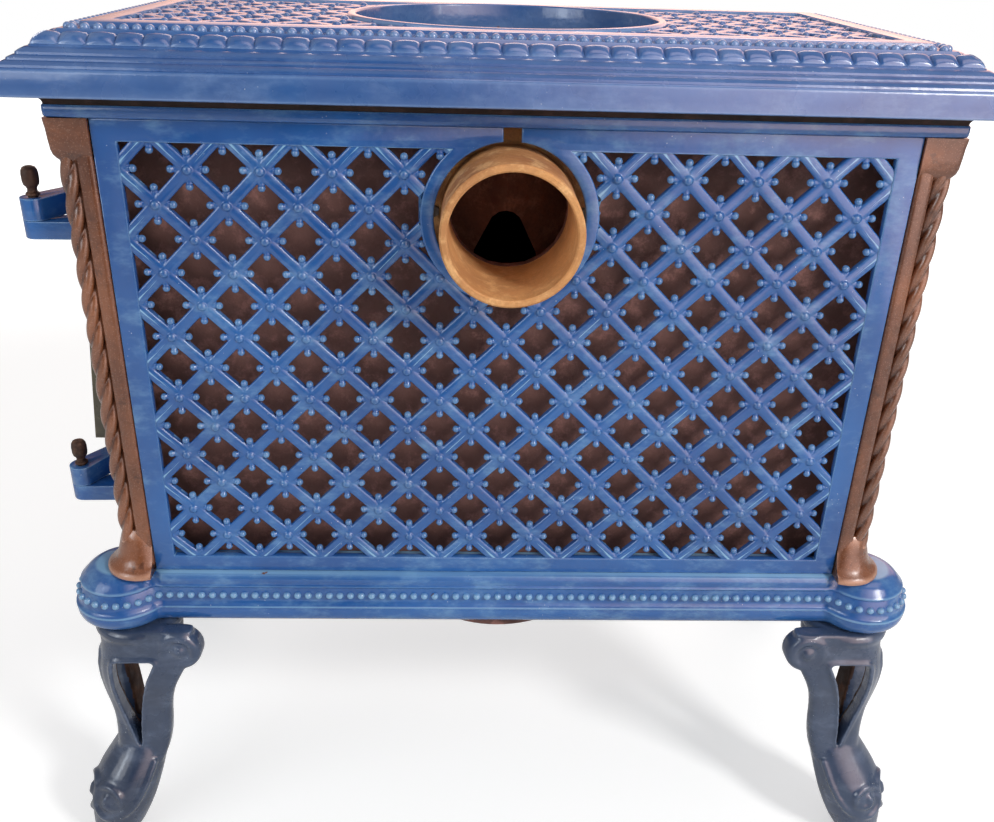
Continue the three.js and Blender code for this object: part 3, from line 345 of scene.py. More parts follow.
def welded(mesh, distance=0.01):
    with editing(mesh) as made:
        bmesh.ops.remove_doubles(made, verts=made.verts, dist=distance * MM)
        bmesh.ops.recalc_face_normals(made, faces=made.faces)
    return mesh


def sliced(mesh, cuts):
    """Cuts a mesh by planes, each (point, normal) in mm, keeping what lies against the normal."""
    with editing(mesh) as made:
        for point, normal in cuts:
            bmesh.ops.bisect_plane(
                made,
                geom=[*made.verts, *made.edges, *made.faces],
                plane_co=Vector(point) * MM,
                plane_no=Vector(normal),
                clear_outer=True,
                dist=1e-7,
            )
    return mesh


def capped(mesh):
    with editing(mesh) as made:
        bmesh.ops.holes_fill(made, edges=[e for e in made.edges if e.is_boundary], sides=0)
    return mesh


def without_loose_points(mesh):
    with editing(mesh) as made:
        bmesh.ops.delete(made, geom=[v for v in made.verts if not v.link_faces], context="VERTS")
    return mesh


def form_of(mesh):
    points = np.zeros(len(mesh.vertices) * 3)
    mesh.vertices.foreach_get("co", points)
    return points.reshape(-1, 3) / MM, [tuple(p.vertices) for p in mesh.polygons]


# ---------------------------------------------------------------- materials
def linked(tree, source, target):
    """Feeds a socket from another socket, or sets its value."""
    if isinstance(source, bpy.types.NodeSocket):
        tree.links.new(source, target)
    else:
        target.default_value = source


class Nodes:
    """Short ways to write one material's nodes. Coordinates are the object's own, in metres."""

    def __init__(self, name):
        self.material = bpy.data.materials.new(name)
        self.material.use_nodes = True
        self.tree = self.material.node_tree
        self.shader = self.tree.nodes["Principled BSDF"]
        self.place = self.new("ShaderNodeTexCoord").outputs["Object"]

    def new(self, kind, **values):
        node = self.tree.nodes.new(kind)
        for key, value in values.items():
            setattr(node, key, value)
        return node

    def link(self, source, target):
        linked(self.tree, source, target)

    def noise(self, per_metre, detail=3.0, rough=0.55, stretch=(1, 1, 1)):
        mapping = self.new("ShaderNodeMapping")
        mapping.inputs["Scale"].default_value = stretch
        self.link(self.place, mapping.inputs["Vector"])
        node = self.new("ShaderNodeTexNoise")
        self.link(mapping.outputs[0], node.inputs["Vector"])
        node.inputs["Scale"].default_value = per_metre
        node.inputs["Detail"].default_value = detail
        node.inputs["Roughness"].default_value = rough
        return node.outputs["Fac"]

    def varied(self, per_metre, detail, low, high):
        """A level that wanders between two values."""
        return self.ramp(self.noise(per_metre, detail), 0.3, 0.7, low, high)

    def cells(self, per_metre):
        node = self.new("ShaderNodeTexVoronoi", feature="F1")
        self.link(self.place, node.inputs["Vector"])
        node.inputs["Scale"].default_value = per_metre
        return node.outputs["Distance"]

    def ramp(self, value, low, high, out_low=0.0, out_high=1.0):
        node = self.new("ShaderNodeMapRange", interpolation_type="SMOOTHSTEP")
        for key, number in [("Value", value), ("From Min", low), ("From Max", high)]:
            self.link(number, node.inputs[key])
        self.link(out_low, node.inputs["To Min"])
        self.link(out_high, node.inputs["To Max"])
        return node.outputs[0]

    def math(self, kind, a, b):
        node = self.new("ShaderNodeMath", operation=kind)
        self.link(a, node.inputs[0])
        self.link(b, node.inputs[1])
        return node.outputs[0]

    def times(self, a, b):
        return self.math("MULTIPLY", a, b)

    def mix(self, share, a, b):
        node = self.new("ShaderNodeMix", data_type="RGBA", blend_type="MIX")
        self.link(share, node.inputs[0])
        for socket, colour in [(node.inputs[6], a), (node.inputs[7], b)]:
            self.link(colour if isinstance(colour, bpy.types.NodeSocket) else rgb(colour), socket)
        return node.outputs[2]

    def bend(self):
        """How far the surface bends: 0.5 where it is flat, more on raised edges."""
        return self.new("ShaderNodeNewGeometry").outputs["Pointiness"]

    def edges(self, low=0.52, high=0.60):
        return self.ramp(self.bend(), low, high)

    def rounded(self, radius):
        """The normal as it would be with every edge rounded."""
        node = self.new("ShaderNodeBevel", samples=4)
        node.inputs["Radius"].default_value = radius * MM
        return node.outputs[0]

    def rims(self):
        """Where an edge is near, told by how far a rounded normal turns: for meshes too coarse to bend."""
        turned = self.new("ShaderNodeVectorMath", operation="DOT_PRODUCT")
        self.link(self.rounded(2.0), turned.inputs[0])
        self.link(self.new("ShaderNodeNewGeometry").outputs["Normal"], turned.inputs[1])
        return self.ramp(turned.outputs["Value"], 0.99, 0.86)

    def height(self, low, high):
        """From 0 at one height above the floor to 1 at another, in mm."""
        apart = self.new("ShaderNodeSeparateXYZ")
        self.link(self.place, apart.inputs[0])
        return self.ramp(apart.outputs["Z"], low * MM, high * MM)

    def bump(self, height, distance, strength, rounding=0.0):
        node = self.new("ShaderNodeBump")
        node.inputs["Strength"].default_value = strength
        node.inputs["Distance"].default_value = distance * MM
        self.link(height, node.inputs["Height"])
        if rounding:
            self.link(self.rounded(rounding), node.inputs["Normal"])
        return node.outputs[0]

    def set(self, **values):
        for key, value in values.items():
            self.link(value, self.shader.inputs[key.replace("_", " ")])


def rgb(colour):
    """An sRGB colour of 0 to 255 as Blender's linear RGBA."""
    shares = [v / 255 for v in colour]
    return (*[c / 12.92 if c <= 0.04045 else ((c + 0.055) / 1.055) ** 2.4 for c in shares], 1.0)


RUST, OLD_RUST = (128, 78, 46), (70, 40, 26)
PIT = (214, 222, 228)


def enamel(
    name, deep, middle, pale, gloss=0.16, chips=0.0, coat=(0.5, 0.05), rusty_low=None, coarse=False
):
    """Glass enamel on iron: clouded colour, edges paler where it thins and as painted highlight, creases
    darker as painted shade, pits and a few chips.

    coat is the weight and roughness of its clear coat. Between the two heights of rusty_low, in mm,
    it flakes more and more towards the floor. A coarse mesh finds its edges in another way.
    """
    n = Nodes(name)
    cloud = n.ramp(n.noise(7, 4, 0.6), 0.3, 0.7, 0.25, 0.85)
    colour = n.mix(cloud, deep, middle)
    streaks = n.ramp(n.noise(60, 4, 0.65, (0.5, 0.5, 1.0)), 0.45, 0.8, 0.0, 0.3)
    colour = n.mix(streaks, colour, pale)
    # Paler on edges: thin enamel, and partly a painted highlight.
    edge = n.rims() if coarse else n.edges(0.515, 0.585)
    colour = n.mix(n.times(edge, 0.65 if coarse else 0.78), colour, pale)
    # Darker towards the deep colour in concave creases: painted shade.
    if not coarse:
        colour = n.mix(n.ramp(n.bend(), 0.48, 0.43, 0.0, 0.5), colour, deep)
    pits = n.ramp(n.cells(210), 0.10, 0.05)
    rare = n.ramp(n.noise(23, 2), 0.56, 0.62)
    colour = n.mix(n.times(n.times(pits, rare), 0.8), colour, PIT)
    chip_field = n.ramp(n.noise(52, 5, 0.7), 0.70 - 0.05 * chips, 0.72 - 0.05 * chips)
    worn = n.times(chip_field, n.ramp(edge, 0.15, 0.5, 0.12, 1.0))
    if rusty_low:
        low, high = rusty_low
        near_foot = n.height(high, low)
        flaking = n.ramp(n.noise(70, 5, 0.7), 0.5, 0.56)
        worn = n.math("MAXIMUM", worn, n.times(near_foot, flaking))
    colour = n.mix(worn, colour, n.mix(n.noise(160, 4), RUST, OLD_RUST))
    peel = n.math("ADD", n.noise(170, 2, 0.5), n.times(n.noise(40, 2), 1.8))
    rough = n.varied(26, 4, gloss * 0.7, gloss * 1.7)
    rough = n.math("MAXIMUM", rough, n.times(worn, 0.8))
    n.set(
        Base_Color=colour,
        Roughness=rough,
        Normal=n.bump(peel, 0.35, 0.7),
        Coat_Weight=coat[0],
        Coat_Roughness=coat[1],
    )
    return n.material


def copper_enamel(name, valley_shade=0.0):
    """The posts' brown enamel, finely speckled: crests paler where it thins and as painted highlight,
    hollows between strands darker as painted shade.
    """
    n = Nodes(name)
    cloud = n.ramp(n.noise(14, 5, 0.65), 0.3, 0.7)
    colour = n.mix(cloud, (88, 48, 29), (134, 80, 50))
    # Paler on crests: thin enamel, and partly a painted highlight.
    colour = n.mix(n.times(n.edges(0.51, 0.56), 0.75), colour, (192, 142, 116))
    speck = n.ramp(n.cells(620), 0.30, 0.16)
    colour = n.mix(n.times(speck, 0.3), colour, (200, 156, 134))
    dark = n.ramp(n.noise(75, 4, 0.7), 0.6, 0.7)
    colour = n.mix(n.times(dark, 0.6), colour, (58, 32, 24))
    # Hollows between the rope's strands darkened: painted shade.
    if valley_shade:
        colour = n.mix(n.ramp(n.bend(), 0.49, 0.45, 0.0, valley_shade), colour, (44, 24, 18))
    n.set(
        Base_Color=colour,
        Roughness=n.varied(60, 3, 0.18, 0.36),
        Normal=n.bump(n.noise(240, 4), 0.3, 0.7),
        Coat_Weight=0.5,
        Coat_Roughness=0.12,
    )
    return n.material


def rusted(name, dark, middle, light, rough=(0.62, 0.9), bumps=0.7, grain=170, rounding=0.0):
    """Bare cast iron under a skin of rust."""
    n = Nodes(name)
    colour = n.mix(n.ramp(n.noise(16, 5, 0.6), 0.35, 0.65), dark, middle)
    blotch = n.ramp(n.noise(48, 5, 0.7), 0.48, 0.66)
    colour = n.mix(n.times(blotch, 0.8), colour, light)
    fine = n.ramp(n.noise(420, 3, 0.7), 0.35, 0.72, 0.0, 0.5)
    colour = n.mix(fine, colour, dark)
    colour = n.mix(n.times(n.edges(), 0.35), colour, light)
    n.set(
        Base_Color=colour,
        Roughness=n.varied(90, 4, *rough),
        Normal=n.bump(n.noise(grain, 5, 0.7), bumps, 0.8, rounding=rounding),
        Specular_IOR_Level=0.3,
    )
    return n.material


def dull_steel():
    n = Nodes("dull_steel")
    colour = n.mix(n.ramp(n.noise(60, 4), 0.35, 0.7), (88, 82, 78), (140, 132, 124))
    colour = n.mix(n.ramp(n.noise(120, 4, 0.7), 0.6, 0.7), colour, (110, 66, 40))
    n.set(
        Base_Color=colour,
        Metallic=0.85,
        Roughness=n.varied(150, 3, 0.32, 0.55),
        Normal=n.bump(n.noise(300, 3), 0.15, 0.5, rounding=0.6),
    )
    return n.material


def sooty_glass():
    n = Nodes("sooty_glass")
    soot = n.ramp(n.noise(9, 4), 0.35, 0.7)
    n.set(
        Base_Color=n.mix(soot, (46, 40, 34), (20, 17, 15)),
        Roughness=n.varied(50, 3, 0.04, 0.14),
        Normal=n.bump(n.noise(12, 2), 0.2, 0.3),
        Coat_Weight=1.0,
        Coat_Roughness=0.03,
    )
    return n.material


blue_colours = (28, 70, 134), (46, 104, 172), (150, 196, 226)
blue_enamel = enamel("blue_enamel", *blue_colours, chips=0.3)
flat_enamel = enamel("flat_enamel", *blue_colours, chips=0.2, coarse=True)
leg_colours = (44, 53, 72), (58, 75, 104), (128, 142, 168)
leg_enamel = enamel("leg_enamel", *leg_colours, gloss=0.24, chips=0.4, coat=(0.45, 0.14), rusty_low=(3, 20))
top_colours = (34, 74, 134), (58, 102, 164), (130, 160, 204)
top_enamel = enamel("top_enamel", *top_colours, gloss=0.2, chips=0.2, coat=(0.8, 0.09))
# A darker copy of the blue for the plate behind the side trellis: painted shade in the recess.
shaded_ground_enamel = enamel("shaded_ground_enamel", (16, 44, 88), (24, 62, 116), (60, 104, 150), gloss=0.3)
olive_colours = (46, 40, 26), (82, 72, 44), (136, 122, 86)
olive_enamel = enamel("olive_enamel", *olive_colours, gloss=0.26, chips=0.5, coarse=True)
brown_enamel = copper_enamel("copper_enamel")
rope_enamel = copper_enamel("rope_enamel", valley_shade=0.85)
pin_iron = rusted("pin_iron", (46, 30, 24), (78, 52, 40), (120, 86, 66), rough=(0.35, 0.6), bumps=0.3)
spigot_iron = rusted("spigot_iron", (172, 112, 66), (216, 152, 92), (236, 184, 126), grain=260)
# Dark rust for the legs' hollow side: bare iron, darkened in part as painted shade.
leg_inside = rusted("leg_inside", (40, 24, 18), (64, 38, 26), (92, 58, 38))
firebox_iron = rusted("firebox_iron", (66, 43, 39), (104, 72, 66), (166, 118, 110), rounding=1.0)
# Near-black iron for the cove under the cornice: painted shade under the overhang.
shaded_cove_iron = rusted("shaded_cove_iron", (26, 17, 15), (44, 28, 25), (66, 44, 38), rough=(0.7, 0.9), bumps=0.3)
black_iron = rusted("black_iron", (26, 22, 20), (44, 37, 33), (72, 52, 42), rough=(0.6, 0.8), rounding=1.0)
flue_iron = rusted("flue_iron", (88, 50, 38), (124, 76, 58), (150, 100, 80))
steel = dull_steel()
door_glass = sooty_glass()

KEPT_MATERIALS = {
    "blue_enamel": flat_enamel,
    "brown_enamel": brown_enamel,
    "dark_enamel": olive_enamel,
    "spigot_iron": spigot_iron,
    "firebox_iron": firebox_iron,
    "black_iron": black_iron,
    "steel": steel,
    "door_glass": door_glass,
}


# ---------------------------------------------------------------- trellis panels
def rounded_bar(length):
    """A trellis bar along X with a crowned back, its flat foot at z = 0."""
    half, crown = BAR_WIDTH / 2, 2.6
    across = [math.sin(a) for a in np.radians(np.linspace(-90, 90, 13))]
    back = [(half * t, BAR_HEIGHT - crown + crown * (1 - abs(t) ** 2.8) ** (1 / 2.8)) for t in across]
    section = [(-half, 0), *back, (half, 0)]
    rows = [[(x, y, z) for y, z in section] for x in (-length, length)]
    return grid_form(rows, cap=True)


def trellis_cell(boss=True):
    """A crossing with four half arms, its boss and its four beads, cut so that cells tile."""
    half = PITCH / math.sqrt(2) / 2
    across = Matrix.Rotation(math.pi / 2, 3, "Z")
    bar = rounded_bar(half + 3)
    parts = [bar, moved(bar, turn=across)]
    if boss:
        parts.append(moved(ball((BOSS_RADIUS, BOSS_RADIUS, BOSS_HEIGHT)), (0, 0, BAR_HEIGHT - 0.8)))
    reach = BEAD_AWAY / math.sqrt(2)
    for sx, sy in [(1, 1), (1, -1), (-1, 1), (-1, -1)]:
        bead = ball((BEAD_RADIUS, BEAD_RADIUS, BEAD_RADIUS))
        parts.append(moved(bead, (sx * reach, sy * reach, BAR_HEIGHT - 2.4)))
        neck = moved(ball(BEAD_NECK), turn=Matrix.Rotation(sx * sy * math.pi / 4, 3, "Z"))
        parts.append(moved(neck, (sx * (reach - 3), sy * (reach - 3), BAR_HEIGHT - 3.4)))
    skin = fused(merged(*parts), voxel=0.55, smoothing=5, share=0.16)
    sides = [((0, 0, 0), (-1, 0, 0)), ((0, 0, 0), (0, -1, 0))]
    sides += [((half, 0, 0), (1, 0, 0)), ((0, half, 0), (0, 1, 0))]
    form = form_of(sliced(skin, sides))
    cell = merged(*[mirrored(form, sx, sy) for sx in (1, -1) for sy in (1, -1)])
    return moved(cell, turn=Matrix.Rotation(math.pi / 4, 3, "Z"))


def crossings(cells_wide, cells_high):
    """Places of the crossings of a field, from its lower left corner."""
    whole = [(i * PITCH, (j + 0.5) * PITCH) for i in range(cells_wide + 1) for j in range(cells_high)]
    half = [((i + 0.5) * PITCH, j * PITCH) for i in range(cells_wide) for j in range(cells_high + 1)]
    return whole + half


def trellis(cells_wide, cells_high, blank=None):
    """A trellis field centred on the origin in the XY plane, cut at its edges and round a blank."""
    width, height = cells_wide * PITCH, cells_high * PITCH
    parts = []
    for x, y in crossings(cells_wide, cells_high):
        inside = 1 < x < width - 1 and 1 < y < height - 1
        parts.append(moved(cell if inside else edge_cell, (x - width / 2, y - height / 2, 0)))
    points, faces = merged(*parts)
    if blank:
        (bx, by), radius = blank
        inside = np.hypot(points[:, 0] - bx, points[:, 1] - by) < radius
        faces = [f for f in faces if not any(inside[i] for i in f)]
    mesh = welded(mesh_of("trellis", (points, faces)), 0.03)
    x, y = width / 2, height / 2
    edges = [((x, 0, 0), (1, 0, 0)), ((-x, 0, 0), (-1, 0, 0))]
    edges += [((0, y, 0), (0, 1, 0)), ((0, -y, 0), (0, -1, 0))]
    return without_loose_points(capped(sliced(mesh, edges)))


def placed(mesh, origin, across, up, out):
    """The mesh with its X, Y and Z laid along three directions."""
    turn = Matrix((across, up, out)).transposed().to_4x4()
    mesh.transform(Matrix.Translation(Vector(origin) * MM) @ turn)
    return mesh


cell = trellis_cell()
edge_cell = trellis_cell(boss=False)  # where a crossing runs in under the border
RELIEF_BACK = 0.4  # the trellis's back, in front of the plate's own
BLANK_COVER = 63.0  # the trellis ends inside the ring that surrounds the spigot
SURROUND = 72.0
CUTOUT = 61.0
SLOT_HALF = 7.0


def rear_border():
    """The rear panel's border with the ring round the spigot and the slot above it."""
    x, z0, z1 = rear_high[0], rear_low[2], rear_high[2]
    half_angle = math.degrees(math.asin(SLOT_HALF / CUTOUT))
    keyhole = arc((0, spigot_z), CUTOUT, 90 + half_angle, 450 - half_angle, 72)
    outline = [(-x, z0), (x, z0), (x, z1), (SLOT_HALF, z1), *keyhole[::-1], (-SLOT_HALF, z1), (-x, z1)]
    rise = math.degrees(math.asin((window_high - spigot_z) / SURROUND))
    bay = arc((0, spigot_z), SURROUND, 180 - rise, 360 + rise, 60)
    window = [(-window_x, window_low), (-window_x, window_high), *bay]
    window += [(window_x, window_high), (window_x, window_low)]
    return flat_plate(outline, [window], rear_high[1] - rear_low[1], EDGE_ROUND)


def rear_panel():
    axes = (1, 0, 0), (0, 0, 1), (0, -1, 0)
    plate = placed(rear_border(), (0, (rear_low[1] + rear_high[1]) / 2, 0), *axes)
    piece("rear_panel_border", plate, flat_enamel, ["rear_panel"])
    middle = (field_bottom + field_top) / 2
    field = trellis(CELLS_ACROSS, CELLS_UP, ((0, spigot_z - middle), BLANK_COVER))
    field = placed(field, (0, rear_high[1] - RELIEF_BACK, middle), *axes)
    piece("rear_panel_trellis", field, blue_enamel, ["rear_panel"])


GROUND_THICK, GROUND_MIDDLE = 3.6, 2.2  # the closed plate, and its middle from the panel's back


def side_panel():
    """The right side: the same trellis in low relief on a closed plate."""
    half_y, z0, z1 = side_high[1], side_low[2], side_high[2]
    outline = outline_of(half_y, z0, z1)
    window = outline_of(field_y - TRELLIS_INSET, window_low, window_high)
    thickness = side_high[0] - side_low[0]
    axes = (0, 1, 0), (0, 0, 1), (1, 0, 0)
    border = flat_plate(outline, [window], thickness, EDGE_ROUND)
    border = placed(border, (side_low[0] + thickness / 2, 0, 0), *axes)
    piece("side_panel_border", border, flat_enamel, ["right_side_panel"])
    middle = (field_bottom + field_top) / 2
    field = placed(trellis(CELLS_DEEP, CELLS_UP), (side_high[0] - BAR_HEIGHT - 1, 0, middle), *axes)
    piece("side_panel_trellis", field, blue_enamel, ["right_side_panel"])
    # The closed plate behind the trellis takes the darker blue as painted shade.
    ground = flat_plate(outline_of(field_y, field_bottom, field_top), [], GROUND_THICK, edge=0.4)
    ground = placed(ground, (side_low[0] + GROUND_MIDDLE, 0, 0), *axes)
    piece("side_panel_ground", ground, shaded_ground_enamel, ["right_side_panel"])


def outline_of(half, low, high):
    """A rectangle, its middle at 0 across."""
    return [(-half, low), (half, low), (half, high), (-half, high)]


# ---------------------------------------------------------------- top
CORNICE_STEPS = [  # the cornice's face: back from its reach, up from its underside
    (1.2, 0), (0.2, 0.8), (0, 2.4), (0.2, 9), (0.6, 17.0), (1.0, 18.8), (2.2, 20.2), (3.4, 20.5),
    (4.0, 22.2), (5.4, 23.2), (8.4, 24.8), (9.6, 25.0), (10.0, 26.4), (11.4, 27.2), (13.6, 28.2),
    (14.6, 28.4), (15.0, 30.0), (17.2, 31.6), (20.2, 33.2), (22.0, 33.4), (22.6, 34.4), (25, 35.6),
    (31, 39.0), (36.5, 42.0), (37.6, 43.6), (38.8, 44.6), (40.2, 44.2), (42.2, 44.0), (46.0, 44.6),
    (50.5, 46.0),
]
GADROON_FOOT = (23.4, 34.4)  # back and up likewise
CORNICE_BEADS = (44.4, 45.0)


def cornice():
    """The cornice's moulding, its gadroons and its beads."""
    z0, z1 = cornice_low[2], cornice_top
    reach = CORNICE_REACH
    outside = [(reach - back, z0 + up) for back, up in CORNICE_STEPS]
    outside += [(reach - 51.6, z1 - 0.5), (reach - 53.0, z1)]
    inner = -(body_y - field_y) + 1
    inside = [(inner, z1), (inner, z1 - 6), (-22, z1 - 8)]
    inside += [(reach - 14, z0 + 20), (reach - 12, z0 + 6), (-16, z0 + 6), (-16, z0)]
    back, up = GADROON_FOOT
    parts = [moulding([*outside, *inside], body_x, body_y), *gadroons(reach - back, z0 + up)]
    back, up = CORNICE_BEADS
    line = reach - back
    for x, y in along_rectangle(body_x + line, body_y + line, CORNICE_BEAD_PITCH):
        parts.append(moved(ball((3.7, 3.7, 3.4), 14, 8), (x, y, z0 + up)))
    return merged(*parts)


GADROON_STEPS = 14  # across one lobe
GADROON_RISE = 7.8
GADROON_DEPTH = 13.4  # of the band, from its foot to its head
GADROON_SWELL = 4.2
SLOPE = (0.485, 0.875)  # the band's outward direction: out, up


def gadroon_row(half_along, foot, z, s, across):
    """A section over the band of lobes as (along, out, height).

    s runs from -1 to 1 along the whole side and across from -1 to 1 over one lobe.
    """
    swell = (1 - abs(across) ** 2.0) ** 0.5
    row = []
    for t in np.linspace(0, 1, 13):
        arch = (1 - abs(2 * t - 1) ** 3.2) ** 0.7
        lift = GADROON_SWELL * arch * (0.16 + 0.84 * swell) - 0.6
        away = foot - GADROON_DEPTH * t
        reach = half_along + away
        u = max(-reach, min(reach, s * (half_along + foot)))
        row.append((u, away + SLOPE[0] * lift, z + GADROON_RISE * t + SLOPE[1] * lift))
    return [*row, (row[-1][0], foot - 16, z + 4), (row[0][0], foot - 3, z - 2)]


def gadroons(foot, z):
    """A band of soft lobes up each side of the cornice, mitred at its corners."""
    strips = []
    for half_along, half_away, turn in [(body_x, body_y, 0), (body_y, body_x, 1)]:
        steps = GADROON_STEPS * round(2 * (half_along + foot) / GADROON_PITCH)
        for side in (1, -1):
            rows = []
            for i in range(steps + 1):
                across = 2 * ((i % GADROON_STEPS) / GADROON_STEPS) - 1
                row = gadroon_row(half_along, foot, z, 2 * i / steps - 1, across)
                rows.append([(u * side, -side * (half_away + v), h) for u, v, h in row])
            points, faces = grid_form(rows, cap=True)
            if turn:
                points = points[:, [1, 0, 2]]
            else:
                faces = [f[::-1] for f in faces]
            strips.append((points, faces))
    return strips


TOP_HOLE = 136.0  # radius of the round hole in the top
RING_WALL = 7.0


def hole_ring():
    inner, outer = TOP_HOLE, TOP_HOLE + RING_WALL
    top, low = cornice_high[2], cornice_top - 24
    profile = [(inner, low + 1), (inner + 1, low), (outer - 1, low), (outer, low + 1), (outer, top - 2.5)]
    profile += arc((outer - 2.5, top - 2.5), 2.5, 0, 90, 4)
    profile += arc((inner + 2, top - 2), 2, 90, 180, 4)
    return ring_lathe(profile)


def top_plate():
    piece("cornice", cornice(), top_enamel, ["top_plate"], sharp=30)
    piece("top_hole_ring", hole_ring(), top_enamel, ["top_plate"])
    field = trellis(CELLS_ACROSS, CELLS_DEEP, ((0, 0), TOP_HOLE + 1))
    field = placed(field, (0, 0, cornice_top - BAR_HEIGHT - 2), (1, 0, 0), (0, 1, 0), (0, 0, 1))
    piece("top_trellis", field, top_enamel, ["top_plate"])


def frieze():
    """An upright blue strip, and over it a cove that flares out under the cornice, in near-black iron as
    painted shade under the overhang.
    """
    z0, z1, inner = frieze_low[2], frieze_high[2], -34
    strip = z0 + FRIEZE_STRIP
    outside = [(0.6, z0), (1.8, z0 + 0.5), (2.4, z0 + 1.6), (2.6, z0 + 5), (2.5, strip - 1), (1.8, strip)]
    inside = [(inner, strip), (inner, z0)]
    band = moulding([*outside, *inside], body_x, body_y)
    piece("frieze", band, flat_enamel, ["top_frame"])
    flare = arc((FRIEZE_REACH, strip), FRIEZE_REACH - 1.4, 178, 92, 8)
    cove = [(o, strip + (z - strip) * (z1 - strip) / (FRIEZE_REACH - 1.4)) for o, z in flare]
    cove = moulding([*cove, (FRIEZE_REACH, z1), (inner, z1), (inner, strip)], body_x, body_y)
    piece("frieze_cove", cove, shaded_cove_iron, ["top_frame"])


# ---------------------------------------------------------------- base
BASE_PROFILE = [  # height, reach of the rails past the body, reach of the bosses past their foot
    (0.0, 2.4, 0.6), (0.4, 3.6, 2.2), (2.6, 5.2, 4.4), (5.2, 6.6, 6.2), (8.6, 7.2, 7.4),
    (12.2, 7.0, 7.8), (14.6, 6.4, 7.6), (15.4, 7.2, 8.2), (17.0, 7.2, 8.0), (18.2, 5.4, 6.4),
    (20.0, 4.0, 4.8), (24.6, 3.8, 4.2), (29.0, 3.8, 3.2), (33.4, 3.9, 1.8), (36.6, 4.0, 0.6),
    (38.0, 5.4, 1.4), (39.6, 6.0, 1.2), (41.2, 5.0, -0.4), (42.4, 5.2, -1.6), (45.4, 5.6, -4.0),
    (47.6, 5.4, -6.2), (49.6, 4.6, -9.0), (51.4, 3.4, -12.6), (52.0, 1.0, -16.0),
]
BASE_HEIGHT = BASE_PROFILE[-1][0]
BEAD_LINE = 28.6  # height of the beads above the base's underside
BOSS_FOOT = 38.0  # a boss's radius where its reach is 0
BOSS_FILLET = 18.0
BASE_BEAD = 3.4  # radius of a bead
BASE_WALL = 12.0  # the rails' wall, in from the body
BASE_FLANGE, BASE_FLANGE_THICK = 45.0, 8.0  # the ledge the panels stand on
LOBE_WIDTH = 104  # of the small lobe under the middle of the rear rail
LOBE_DROP = 12


def base_quarter():
    """A quarter of the base's plan: places, outward directions, and how far each is on a boss."""
    (cx, cy), r, f = BOSS_AT, BOSS_FOOT, BOSS_FILLET
    fx = cx - math.sqrt((r + f) ** 2 - (body_y + f - cy) ** 2)
    fy = cy - math.sqrt((r + f) ** 2 - (body_x + f - cx) ** 2)
    first = math.degrees(math.atan2(cy - body_y - f, cx - fx))
    last = math.degrees(math.atan2(cy - fy, cx - body_x - f))
    places = [((0.0, body_y), (0, 1), 0.0), ((fx - 1, body_y), (0, 1), 0.0)]
    arcs = [  # degrees, centre, radius, which way is outwards, how far on the boss from start to end
        (np.linspace(-90, first, 9), (fx, body_y + f), f, -1, (0, 1)),
        (np.linspace(first + 180, last - 180, 36)[1:-1], (cx, cy), r, 1, (1, 1)),
        (np.linspace(last, 180, 9), (body_x + f, fy), f, -1, (1, 0)),
    ]
    for degrees, (mx, my), radius, facing, share in arcs:
        for a, w in zip(np.radians(degrees), np.linspace(*share, len(degrees)), strict=True):
            c, s = math.cos(a), math.sin(a)
            places.append(((mx + radius * c, my + radius * s), (facing * c, facing * s), w))
    places.append(((body_x, 0.0), (1, 0), 0.0))
    return places


def base_plan():
    """The whole plan, as four quarters that share their ends."""
    quarter = base_quarter()
    plan = []
    for sx, sy in [(1, 1), (1, -1), (-1, -1), (-1, 1)]:
        turned = [((sx * x, sy * y), (sx * u, sy * v), w) for (x, y), (u, v), w in quarter]
        plan += (turned if sx * sy > 0 else turned[::-1])[:-1]
    return plan


def pulled_in(x, y, inset):
    """The nearest place that lies the inset or more inside the body's plan."""
    limit_x, limit_y = body_x - inset, body_y - inset
    return max(-limit_x, min(limit_x, x)), max(-limit_y, min(limit_y, y))


def base():
    """The rails and bosses in one skin with their beads, and the lobe under the rear rail."""
    z0 = base_high[2] - BASE_HEIGHT
    rows, line = [], []
    for (x, y), (u, v), w in base_plan():
        w = w * w * (3 - 2 * w)
        row = []
        for z, rail, boss in BASE_PROFILE:
            out = rail + (boss - rail) * w
            row.append((x + u * out, y + v * out, z0 + z))
        under = BASE_HEIGHT - BASE_FLANGE_THICK
        row += [(*pulled_in(x, y, BASE_FLANGE), z0 + z) for z in (BASE_HEIGHT, under)]
        row += [(*pulled_in(x, y, BASE_WALL), z0 + z) for z in (under, 0)]
        rows.append(row)
        out = 4.4 - 1.0 * w
        line.append((x + u * out, y + v * out))
    points, faces = grid_form(rows, wrap_rows=True)
    rail = welded(mesh_of("rail", (points, faces)), 0.02)
    line = np.array([*line, line[0]])
    along = lengths_along(line)
    bead = ball((BASE_BEAD, BASE_BEAD, BASE_BEAD), 14, 9)
    beads = []
    for at in np.linspace(0, along[-1], round(along[-1] / BASE_BEAD_PITCH), endpoint=False):
        x, y = np.interp(at, along, line[:, 0]), np.interp(at, along, line[:, 1])
        beads.append(moved(bead, (x, y, z0 + BEAD_LINE)))
    piece("base_rail", merged(form_of(rail), *beads), blue_enamel, ["base_frame"], sharp=36)
    lobe = [(LOBE_WIDTH * (0.5 - t), 3 - 4 * LOBE_DROP * t * (1 - t)) for t in np.linspace(0, 1, 15)]
    apron = flat_plate(lobe, [], thickness=8, edge=1.6)
    apron = placed(apron, (0, -(body_y - 4), z0), (1, 0, 0), (0, 0, 1), (0, -1, 0))
    piece("base_apron", apron, firebox_iron, ["base_frame"])


